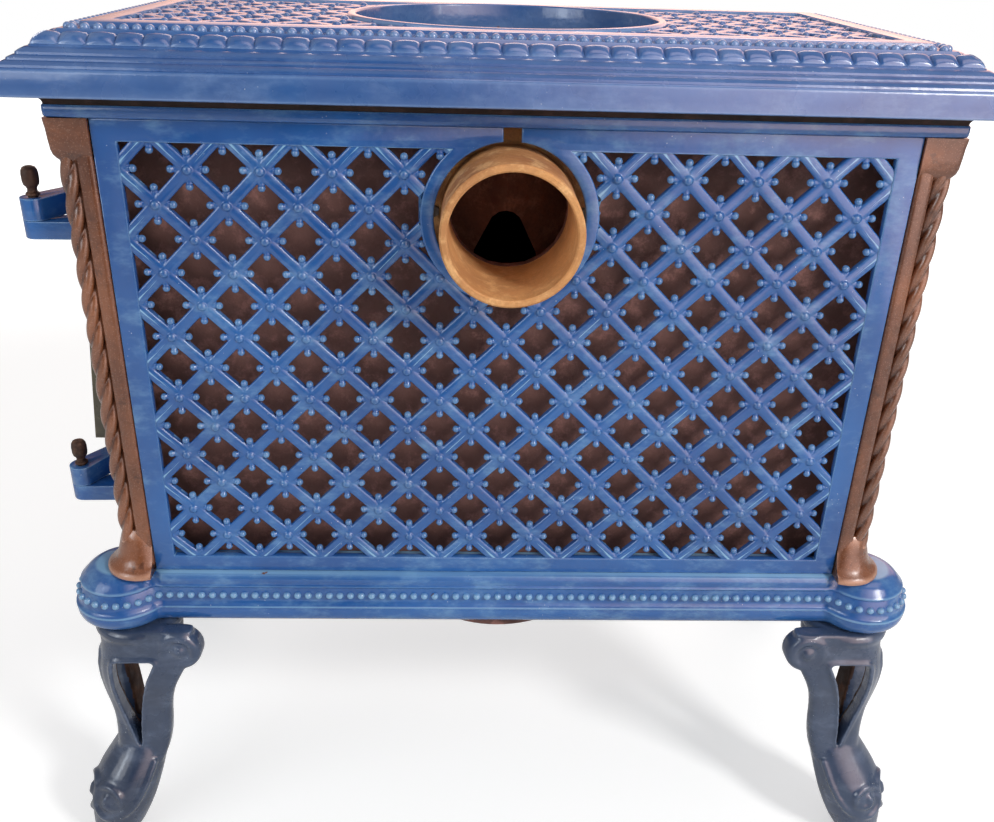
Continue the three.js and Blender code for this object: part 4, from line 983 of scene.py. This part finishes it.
# ---------------------------------------------------------------- posts
POST_WIDTH = 30.0
ROPE_AT = 8.7  # the rope's axis, in from the body's corner
ROPE_FROM_FOOT, ROPE_TO_HEAD = 30, 24
STRAND_OUT = 3.5
STRAND_RADIUS = 4.6
BAND_FROM = 17.0  # where the plain band beside the rope begins
FOOT_AT = 17.0
HEAD_STATIONS = [  # drop, reach in
    (37, 8), (34, 4.4), (31, 1.6), (28, -0.2), (24, -1.2), (16, -1.8),
    (8, -2.2), (3, -2.8), (0, -3),
]
FOOT_FLARE = [  # radius, height
    (0, 0), (33.4, 0), (34, 1), (33.6, 4), (31, 6.4), (27.4, 9), (24.6, 13),
    (22.4, 18), (20.6, 25), (18.6, 32), (16.6, 38), (13.4, 42), (0, 44),
]


def rope(z0, z1):
    """Three strands laid round an axis, climbing to the left as seen from outside."""
    around, lead = 48, 3 * STRAND_PITCH
    rows = []
    for z in np.linspace(z0, z1, int((z1 - z0) / 2.0)):
        row = []
        for i in range(around):
            angle = TAU * i / around
            turn = angle - TAU * z / lead
            away = (turn + math.pi / 3) % (TAU / 3) - math.pi / 3
            across = STRAND_OUT * math.sin(away)
            radius = STRAND_OUT * math.cos(away) + math.sqrt(STRAND_RADIUS**2 - across**2)
            row.append((radius * math.cos(angle), radius * math.sin(angle), z))
        rows.append(row)
    return grid_form(rows, cap=True)


def post_core(z0, z1):
    """The post behind its rope: on each face a broad, barely crowned band and a groove."""
    w = POST_WIDTH
    face = [(w, 2.2), (w - 0.3, 1.2), (w - 1.2, 0.5), (w - 3, 0.1), (w - 6, 0.0), (BAND_FROM + 4, 0.3)]
    face += [(BAND_FROM + 1.4, 0.9), (BAND_FROM + 0.3, 1.9), (BAND_FROM, 3.2), (BAND_FROM - 0.3, 7)]
    other = [(v, u) for u, v in face]
    outline = [*face, *other[::-1], (w, w)]
    rows = [[(x, y, z) for x, y in outline] for z in (z0, z1)]
    return grid_form(rows, cap=True)


def post_head(z1):
    """The plain block over the rope, swept out under the frieze, with a tongue down to the rope."""
    rows, soft = [], 1.6
    for drop, low in HEAD_STATIONS:
        section = [(POST_WIDTH, max(low, 0.2) if low > -1 else low * 0.3)]
        section += [(low + 2.5 * soft, low), (low + soft, low + 0.3), (low + 0.3, low + soft)]
        section += [(low, low + 2.5 * soft), (section[0][1], POST_WIDTH), (POST_WIDTH, POST_WIDTH)]
        rows.append([(x, y, z1 - drop) for x, y in section])
    return grid_form(rows, cap=True)


def corner_post():
    """A post's rope and the rest of it, x and y running inwards from the body's corner."""
    z0, z1 = post_low[2], post_high[2]
    flare = lathe([(radius, z0 + up) for radius, up in FOOT_FLARE], 64)
    flare = sliced(
        mesh_of("flare", moved(flare, (FOOT_AT, FOOT_AT, 0))),
        [((POST_WIDTH, 0, 0), (1, 0, 0)), ((0, POST_WIDTH, 0), (0, 1, 0))],
    )
    strands = moved(rope(z0 + ROPE_FROM_FOOT, z1 - ROPE_TO_HEAD), (ROPE_AT, ROPE_AT, 0))
    return strands, merged(post_core(z0, z1), post_head(z1), form_of(capped(flare)))


def same_hand(form, sx, sy):
    """A corner's form set in place: turned, not mirrored, so that every rope has the same lay."""
    points = form[0]
    if sx * sy < 0:
        points = points[:, [1, 0, 2]]
    turned = points * np.array([-sx, -sy, 1.0]) + np.array([sx * body_x, sy * body_y, 0])
    return turned, form[1]


def posts():
    """Each post as two pieces: the rope, and the bands, head and foot beside it."""
    strands, plain = corner_post()
    for name, (sx, sy) in CORNERS.items():
        node = "post_" + name
        piece(node + "_rope", same_hand(strands, sx, sy), rope_enamel, [node])
        piece(node + "_band", same_hand(plain, sx, sy), brown_enamel, [node], sharp=42)


# ---------------------------------------------------------------- legs
LEG_STATIONS = [  # height, corner's reach, wing's end past the corner, thickness, setback, rounding
    (56, 27, 2, 20, 0, 12), (74, 27, 11, 20, 0, 12), (88, 27, 19, 20, 0, 12),
    (101, 26.5, 24.5, 19, 0, 12), (114, 25.5, 28, 18, 0, 12), (128, 24.8, 31, 16, 0, 12.5),
    (142, 24.8, 32.5, 15, 0, 13), (158, 26, 34.5, 14, 0, 15), (174, 28.6, 38, 13, 1, 18),
    (190, 30.8, 44, 13, 1, 21), (206, 31.6, 53, 13, 2, 24), (222, 29.6, 62, 13, 2, 26),
    (249.4, 25, 64, 14, 0, 27),
]
FOOT_STATIONS = [  # height, reach out past the corner, reach in from it, of a ball-shaped toe
    (0, 45, -27), (1.6, 49, -22), (6, 52.6, -16), (13, 55.2, -10), (22, 56.3, -4), (34, 56.6, 2),
    (46, 56.4, 7), (58, 55.6, 11), (70, 52.6, 14.5), (82, 46.6, 17.5), (92, 39.5, 20),
    (102, 32.5, 22), (112, 26, 20), (120, 18, 14), (127, 6, 3),
]
WINDOW = [  # on a leg's face, in from the corner and up
    (0.4, 103), (1.8, 122), (3.4, 138), (6.4, 156), (10.5, 175), (16.6, 195), (23.4, 210),
    (25.6, 214), (23.6, 217.4), (6, 217.8), (-9, 217.8), (-12.4, 215), (-13.4, 206),
    (-13.6, 186), (-11.6, 160), (-7.6, 137), (-2.6, 114),
]
SCROLL = [  # on the toe's face, in from the corner and up
    (12, 92), (5, 73), (-5, 56), (-17, 44), (-29, 39), (-41, 42), (-47, 53), (-46, 65), (-38, 74),
    (-26, 75), (-17, 67), (-19, 56), (-29, 52), (-36, 58), (-33, 64),
]
COLLAR = [  # radius, height
    (0, 222), (36, 222), (38.6, 224), (39, 230), (37, 232), (36.6, 233.6), (37.4, 235.6),
    (40.6, 238), (41.6, 241.6), (40.8, 245.4), (38, 248.6), (37, 249.4), (0, 249.4),
]
VOLUTE = [  # radius, depth into the wing
    (0, 3.2), (9.4, 3.2), (11.6, 0.6), (15, -0.6), (18.6, 0.4), (20.6, 3), (21.2, 7),
    (21.2, 20), (0, 20),
]
VOLUTE_AT = np.array([50, -28.6, 228.2])
VOLUTE_EYE = 3.2  # depth of the knob in its middle
RIM_MIDDLE, RIM_SCALE = (4, 168), (1.12, 1.02)  # the lip runs a little outside the window
TOE_DEPTH = -53.8  # the scroll stays within the toe's reach


def eased(rows, step):
    """Stations filled in along their first column and smoothed."""
    rows = np.array(rows, float)
    at = np.arange(rows[0, 0], rows[-1, 0], step)
    at = np.append(at, rows[-1, 0])
    fine = np.stack([np.interp(at, rows[:, 0], column) for column in rows.T], axis=1)
    for _ in range(3):
        fine[1:-1] = (fine[:-2] + 2 * fine[1:-1] + fine[2:]) / 4
    return fine


def cut_corners(path, closed):
    """A polyline with its corners cut twice."""
    path = np.array(path, float)
    for _ in range(2):
        after = np.roll(path, -1, axis=0) if closed else path[1:]
        before = path if closed else path[:-1]
        cut = np.stack([0.75 * before + 0.25 * after, 0.25 * before + 0.75 * after], axis=1).reshape(-1, 2)
        path = cut if closed else np.vstack([path[:1], cut, path[-1:]])
    return path


def prism(outline, axis, low, high):
    """An outline of (across, height) pushed from low to high along x or y."""
    rows = []
    for d in (low, high):
        rows.append([(d, u, z) if axis == "x" else (u, d, z) for u, z in outline])
    return grid_form(rows, cap=True)


def leg_skin():
    """A cabriole leg about the body's corner, x and y running inwards: two wings on a round foot."""
    rows = []
    for z, out, end, thick, setback, soft in eased(LEG_STATIONS, 5):
        arm = end + out
        bend = min(0.75 * arm, soft + 14)
        face = [(bend, 0.15 * setback), (arm - 6, setback), (arm - 2, setback + 1), (arm, setback + 4)]
        face += [(arm, setback + thick - 3), (arm - 2, setback + thick)]
        face += [(thick + 3, thick + 0.15 * setback)]
        corner = arc((soft, soft), soft, 180, 270, 9)
        other = [(v, u) for u, v in face[::-1]]
        rows.append([(u - out, v - out, z) for u, v in [*face, *other, *corner]])
    foot = []
    angles = round_angles(48)
    for z, out, end in eased(FOOT_STATIONS, 2):
        middle, radius = (end - out) / 2, (end + out) / 2
        x, y = middle + radius * np.cos(angles), middle + radius * np.sin(angles)
        foot.append(np.c_[x, y, np.full(len(angles), z)])
    return merged(grid_form(rows, cap=True), grid_form(foot, cap=True))


def lip(path, radius, spot):
    """A bead laid along a path, with spot() giving each point's place on the leg."""
    along = lengths_along(path)
    grain = ball((radius, radius, radius), 8, 6)
    grains = []
    for t in np.arange(0, along[-1], radius * 0.7):
        u, z = np.interp(t, along, path[:, 0]), np.interp(t, along, path[:, 1])
        grains.append(moved(grain, spot(u, z)))
    return merged(*grains)


def at_height(stations, z, *columns):
    """The stations' columns at a height between them."""
    table = np.array(stations, float)
    return [np.interp(z, table[:, 0], table[:, k]) for k in columns]


def on_wing(u, z):
    """The place on a wing's outer face."""
    out, soft, back = at_height(LEG_STATIONS, z, 1, 5, 4)
    inside = max(0.0, soft - out - u)
    curve = soft - math.sqrt(max(0.0, soft**2 - inside**2))
    return u, -out + curve + back * max(0.0, min(1.0, (u + out - soft) / 60)) + 0.3, z


def on_foot(u, z):
    """The place on the toe's outer face."""
    out, end = at_height(FOOT_STATIONS, z, 1, 2)
    middle, radius = (end - out) / 2, (end + out) / 2
    return u, max(TOE_DEPTH, middle - math.sqrt(max(1.0, radius**2 - (u - middle) ** 2))), z


def leg():
    """One leg's casting: the skin, its collar, and on both faces a volute, a scroll and a window."""
    collar = moved(lathe(COLLAR, 72), (5, 12, 0))
    to_y = Matrix.Rotation(-math.pi / 2, 3, "X")
    rim = (cut_corners(WINDOW, True) - RIM_MIDDLE) * RIM_SCALE + RIM_MIDDLE
    one_side = [
        moved(lathe(VOLUTE), VOLUTE_AT, to_y),
        moved(ball((7.4, 7.4, 5.0), 20, 12), VOLUTE_AT + (0, VOLUTE_EYE, 0), to_y),
        lip(np.vstack([rim, rim[:1]]), 2.9, on_wing),
        lip(cut_corners(SCROLL, False), 3.6, on_foot),
    ]
    both = merged(*one_side)
    other = both[0][:, [1, 0, 2]], [f[::-1] for f in both[1]]
    skin = fused(merged(leg_skin(), collar, both, other), voxel=1.4, smoothing=3)
    solid = object_of("leg", skin)
    tools = []
    for axis in ("y", "x"):
        tool = object_of("window", mesh_of("window", prism(WINDOW, axis, low=-60, high=2)))
        welded(tool.data)
        cut = solid.modifiers.new("window", "BOOLEAN")
        cut.operation = "DIFFERENCE"
        cut.solver = "EXACT"
        cut.object = tool
        tools.append(tool)
    cut_mesh = evaluated(solid)
    for tool in tools:
        bpy.data.objects.remove(tool)
    return fused(form_of(cut_mesh), voxel=1.25, smoothing=4, share=0.4)


def legs():
    """The same leg mirrored into four corners, bare iron on its hollow side, its dark rust partly painted
    shade.
    """
    form = form_of(leg())
    inside = [behind_the_wings(form[0][list(f)].mean(axis=0)) for f in form[1]]
    for name, (sx, sy) in CORNERS.items():
        node = "leg_" + name
        placed_form = moved(mirrored(form, -sx, -sy), (sx * body_x, sy * body_y, 0))
        obj = piece(node + "_casting", placed_form, leg_enamel, [node], sharp=60)
        obj.data.materials.append(leg_inside)
        obj.data.polygons.foreach_set("material_index", np.array(inside, np.int32))


def behind_the_wings(place):
    """Whether a place is on the leg's bare hollow side."""
    x, y, z = place
    out, thick = at_height(LEG_STATIONS, z, 1, 3)
    return 104 < z < 216 and min(x, y) > thick - out - 2.5


# ---------------------------------------------------------------- flue spigot
def spigot():
    """The flue spigot's tube with its soft lip and its flange, turned about Z and laid along Y."""
    radius, bore, flange = 55.5, 49.5, 68.0
    back = spigot_high[1] - spigot_low[1]
    profile = [(bore, 1.2), (bore + 1.2, 0), (radius - 1.6, 0), (radius, 1.6), (radius, back - 10)]
    profile += [(radius + 2, back - 8), (flange - 0.8, back - 8), (flange, back - 7), (flange, back)]
    profile += [(bore, back)]
    tube = ring_lathe(profile)
    tube = moved(tube, (0, spigot_low[1], spigot_z), Matrix.Rotation(-math.pi / 2, 3, "X"))
    piece("flue_spigot_casting", tube, spigot_iron, ["flue_spigot"])


# ---------------------------------------------------------------- the frame's own nodes
def slot_of(node):
    """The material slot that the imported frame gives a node."""
    holders = frame["nodes"][node].material_slots
    name = holders[0].material.name.split(".")[0] if holders and holders[0].material else ""
    return name if name in KEPT_MATERIALS else "black_iron"


FLAT_ENOUGH, HARD_ENOUGH = 1.5, 28  # degrees: edges to remove, edges to round


def softened(node, width):
    """A node's shape with its hard edges rounded, as cast and enamelled iron has them."""
    source = frame["nodes"][node]
    made = bmesh.new()
    made.from_mesh(source.data)
    made.transform(source.matrix_world)
    bmesh.ops.remove_doubles(made, verts=made.verts, dist=1e-5)
    flat, hard = math.radians(FLAT_ENOUGH), math.radians(HARD_ENOUGH)
    bmesh.ops.dissolve_limit(made, angle_limit=flat, verts=made.verts[:], edges=made.edges[:])
    edges = [e for e in made.edges if len(e.link_faces) == 2 and e.calc_face_angle(0) > hard]
    bmesh.ops.bevel(
        made, geom=edges, offset=width * MM, segments=2, profile=0.6, affect="EDGES", clamp_overlap=True
    )
    mesh = bpy.data.meshes.new(node)
    made.to_mesh(mesh)
    made.free()
    slot = slot_of(node)
    body = body_of(source)[0]
    return piece(node + "_soft", mesh, KEPT_MATERIALS[slot], [node], body, sharp=50)


PIN_KNOB = [  # share of the pin's radius, distance below its top
    (0.42, 0.2), (0.74, 1.2), (0.93, 3.4), (1.0, 6.5), (0.99, 12), (0.9, 15.2), (0.66, 17),
    (0.56, 19), (0.6, 21), (0.82, 22.2), (0.84, 23.6), (0.55, 24.4),
]


def hinge_pin(node):
    """A turned pin with a long knob and a thin shank."""
    low, high = box_mm(node)
    centre, radius, top = (low + high) / 2, (high[0] - low[0]) / 2, high[2]
    knob = [(radius * share, top - drop) for share, drop in PIN_KNOB]
    shank = [(radius * 0.55, low[2] + 1), (radius * 0.45, low[2]), (0, low[2])]
    form = moved(lathe([(0, top), *knob, *shank][::-1], 40), (centre[0], centre[1], 0))
    piece(node + "_turned", form, pin_iron, [node], body_of(frame["nodes"][node])[0])


DOOR_THICK = 11.0
DOOR_BEAD = 2.9
DOOR_BEAD_PITCH = 10.0
DOOR_BEADS_IN = 15.0  # from the fire door's edge to its beads
LATCH_PIVOT_DROP = 11.0
LATCH_SWEEP = 78.0  # no beads where the latch's lever turns
LUGS_END = -0.1275  # the side door's hinge lugs end at this y, in metres


def door_beads():
    """A row of beads round the fire door's glass, left out where the latch turns."""
    plate_low, plate_high = box_mm("fire_door")
    latch_low, latch_high = box_mm("fire_door_latch")
    middle, face = (plate_low[2] + plate_high[2]) / 2, plate_low[1] + DOOR_THICK
    half_x = -plate_low[0] - DOOR_BEADS_IN  # the hinge knuckles stand out past the other edge
    half_z = (plate_high[2] - plate_low[2]) / 2 - DOOR_BEADS_IN
    pivot_x, pivot_z = (latch_low[0] + latch_high[0]) / 2, latch_high[2] - LATCH_PIVOT_DROP
    bead = ball((DOOR_BEAD, DOOR_BEAD, DOOR_BEAD), 10, 6)
    beads = []
    for x, z in along_rectangle(half_x, half_z, DOOR_BEAD_PITCH):
        if math.hypot(x - pivot_x, z + middle - pivot_z) > LATCH_SWEEP:
            beads.append(moved(bead, (x, face, z + middle)))
    piece("fire_door_beads", merged(*beads), blue_enamel, [], "fire_door")


SOFTENED = {  # the frame's nodes that get rounded edges, in mm
    "front_frame": 1.2,
    "fire_door": 1.4,
    "fire_door_latch": 1.2,
    "left_side_panel": 1.2,
    "side_door": 1.4,
    "side_door_latch": 1.2,
    "ash_drawer_front": 1.4,
}


def doors_and_front():
    """The turned pins, the beads, the softened nodes, and materials for the nodes left as they are."""
    for node in ("side_hinge_pin_upper", "side_hinge_pin_lower"):
        hinge_pin(node)
    door_beads()
    for node, width in SOFTENED.items():
        rounded = softened(node, width)
        if node == "side_door":  # its hinge lugs are blue
            rounded.data.materials.append(flat_enamel)
            for face in rounded.data.polygons:
                face.material_index = int(face.center.y < LUGS_END)
    for node, obj in frame["nodes"].items():
        for holder in obj.material_slots:
            holder.material = flue_iron if node == "flue_box" else KEPT_MATERIALS[slot_of(node)]


doors_and_front()
rear_panel()
side_panel()
top_plate()
frieze()
base()
posts()
legs()
spigot()


# ---------------------------------------------------------------- stage
CAMERA_AT = (-36.5, -952.5, 850.3)  # mm
CAMERA_AXES = ((0.9993, -0.0265, 0.0273), (-0.0129, 0.4402, 0.8978), (0.0358, 0.8975, -0.4395))
LENS = 35.507


def camera():
    data = bpy.data.cameras.new("camera")
    data.lens = LENS
    data.sensor_width = 36
    data.clip_start = 0.01
    obj = object_of("camera", data)
    right, up, forward = (Vector(v) for v in CAMERA_AXES)
    back = -forward
    right.normalize()
    up = back.cross(right).normalized()
    right = up.cross(back)
    turn = Matrix((right, up, back)).transposed().to_4x4()
    obj.matrix_world = Matrix.Translation(Vector(CAMERA_AT) * MM) @ turn
    bpy.context.scene.camera = obj


def lamp(name, size, power, place, aim, colour):
    """A rectangular lamp at a place, turned towards another, in metres and watts."""
    data = bpy.data.lights.new(name, "AREA")
    data.shape = "RECTANGLE"
    data.size, data.size_y = size
    data.energy = power
    data.color = colour
    obj = object_of(name, data)
    obj.location = place
    obj.rotation_euler = (Vector(aim) - Vector(place)).to_track_quat("-Z", "Y").to_euler()


EVEN_LIGHT, DIM_ROOM = 0.46, 0.34


def world():
    """White to the camera, a dim room in reflections, and an even soft light."""
    scene_world = bpy.data.worlds.new("world")
    bpy.context.scene.world = scene_world
    scene_world.use_nodes = True
    tree = scene_world.node_tree
    path = tree.nodes.new("ShaderNodeLightPath")
    background = tree.nodes["Background"]
    background.inputs["Color"].default_value = (1, 1, 1, 1)
    strength = EVEN_LIGHT
    for ray, level in [("Is Glossy Ray", DIM_ROOM), ("Is Camera Ray", 1.0)]:
        choose = tree.nodes.new("ShaderNodeMix")
        linked(tree, path.outputs[ray], choose.inputs[0])
        linked(tree, strength, choose.inputs[2])
        linked(tree, level, choose.inputs[3])
        strength = choose.outputs[0]
    linked(tree, strength, background.inputs["Strength"])


def stage_plane(name, size, place, turn, material):
    made = bmesh.new()
    bmesh.ops.create_grid(made, x_segments=1, y_segments=1, size=0.5)
    bmesh.ops.scale(made, vec=(*size, 1), verts=made.verts)
    mesh = bpy.data.meshes.new(name)
    made.to_mesh(mesh)
    made.free()
    mesh.materials.append(material)
    obj = object_of(name, mesh)
    obj.location = place
    obj.rotation_euler = [math.radians(a) for a in turn]
    return obj


def floor():
    """A pale floor that reads as white beyond the stove's own shadow."""
    n = Nodes("floor")
    n.set(Base_Color=(0.8, 0.8, 0.8, 1), Roughness=0.9, Specular_IOR_Level=0.0)
    away = n.new("ShaderNodeVectorMath", operation="LENGTH")
    n.link(n.place, away.inputs[0])
    lift = n.ramp(away.outputs["Value"], 1.3, 3.2, 0.42, 1.0)
    seen = n.new("ShaderNodeLightPath").outputs["Is Camera Ray"]
    n.set(Emission_Color=(1, 1, 1, 1), Emission_Strength=n.times(seen, lift))
    stage_plane("floor", (12, 12), (0, 0, 0), (0, 0, 0), n.material)


def card(name, colour, strength, size, place, turn, soft, fade=None):
    """A coloured card that only shiny surfaces see.

    It fades out towards its edges over the share soft, and along X between the two places of fade.
    """
    n = Nodes(name)
    n.tree.nodes.remove(n.shader)
    apart = n.new("ShaderNodeSeparateXYZ")
    n.link(n.place, apart.inputs[0])
    level = strength
    for axis, across in zip("XY", size, strict=True):
        away = n.math("ABSOLUTE", apart.outputs[axis], 0.0)
        level = n.times(n.ramp(away, across / 2, across / 2 * (1 - soft)), level)
    if fade:
        level = n.times(n.ramp(apart.outputs["X"], *fade), level)
    glow = n.new("ShaderNodeEmission")
    n.link(rgb(colour), glow.inputs["Color"])
    n.link(level, glow.inputs["Strength"])
    n.link(glow.outputs[0], n.tree.nodes["Material Output"].inputs["Surface"])
    obj = stage_plane(name, size, place, turn, n.material)
    obj.visible_camera = False
    obj.visible_diffuse = False
    obj.visible_transmission = False
    obj.visible_shadow = False


camera()
world()
floor()
lamp("key", (0.55, 0.55), 52, (1.9, -1.9, 2.2), (0, -0.1, 0.5), (1.0, 0.99, 0.97))
lamp("fill", (1.8, 1.4), 17, (-2.0, -1.7, 1.5), (0, -0.1, 0.5), (0.96, 0.98, 1.0))
lamp("back", (2.2, 1.2), 22, (0.3, 2.2, 2.3), (0, 0, 0.7), (1.0, 0.88, 0.82))
card("warm_wall", (255, 202, 186), 1.85, (6.4, 3.8), (1.3, 2.2, 1.8), (90, 0, 0), 0.5)
card("pale_window", (255, 224, 214), 3.3, (4.2, 3.2), (1.5, -1.7, 1.3), (90, 0, 0), 0.4, (-2.0, -0.45))
card("ceiling", (255, 230, 224), 2.4, (3.6, 1.9), (0.8, -0.5, 2.7), (0, 0, 0), 0.5, (-1.6, -0.7))
card("bright_strip", (255, 252, 250), 9.0, (0.6, 1.7), (2.3, -1.85, 1.45), (90, 0, 54), 0.3)
card("left_strip", (236, 246, 255), 4.5, (0.5, 1.6), (-2.2, -1.9, 1.5), (90, 0, -52), 0.3)

bpy.context.scene.view_settings.view_transform = "Standard"
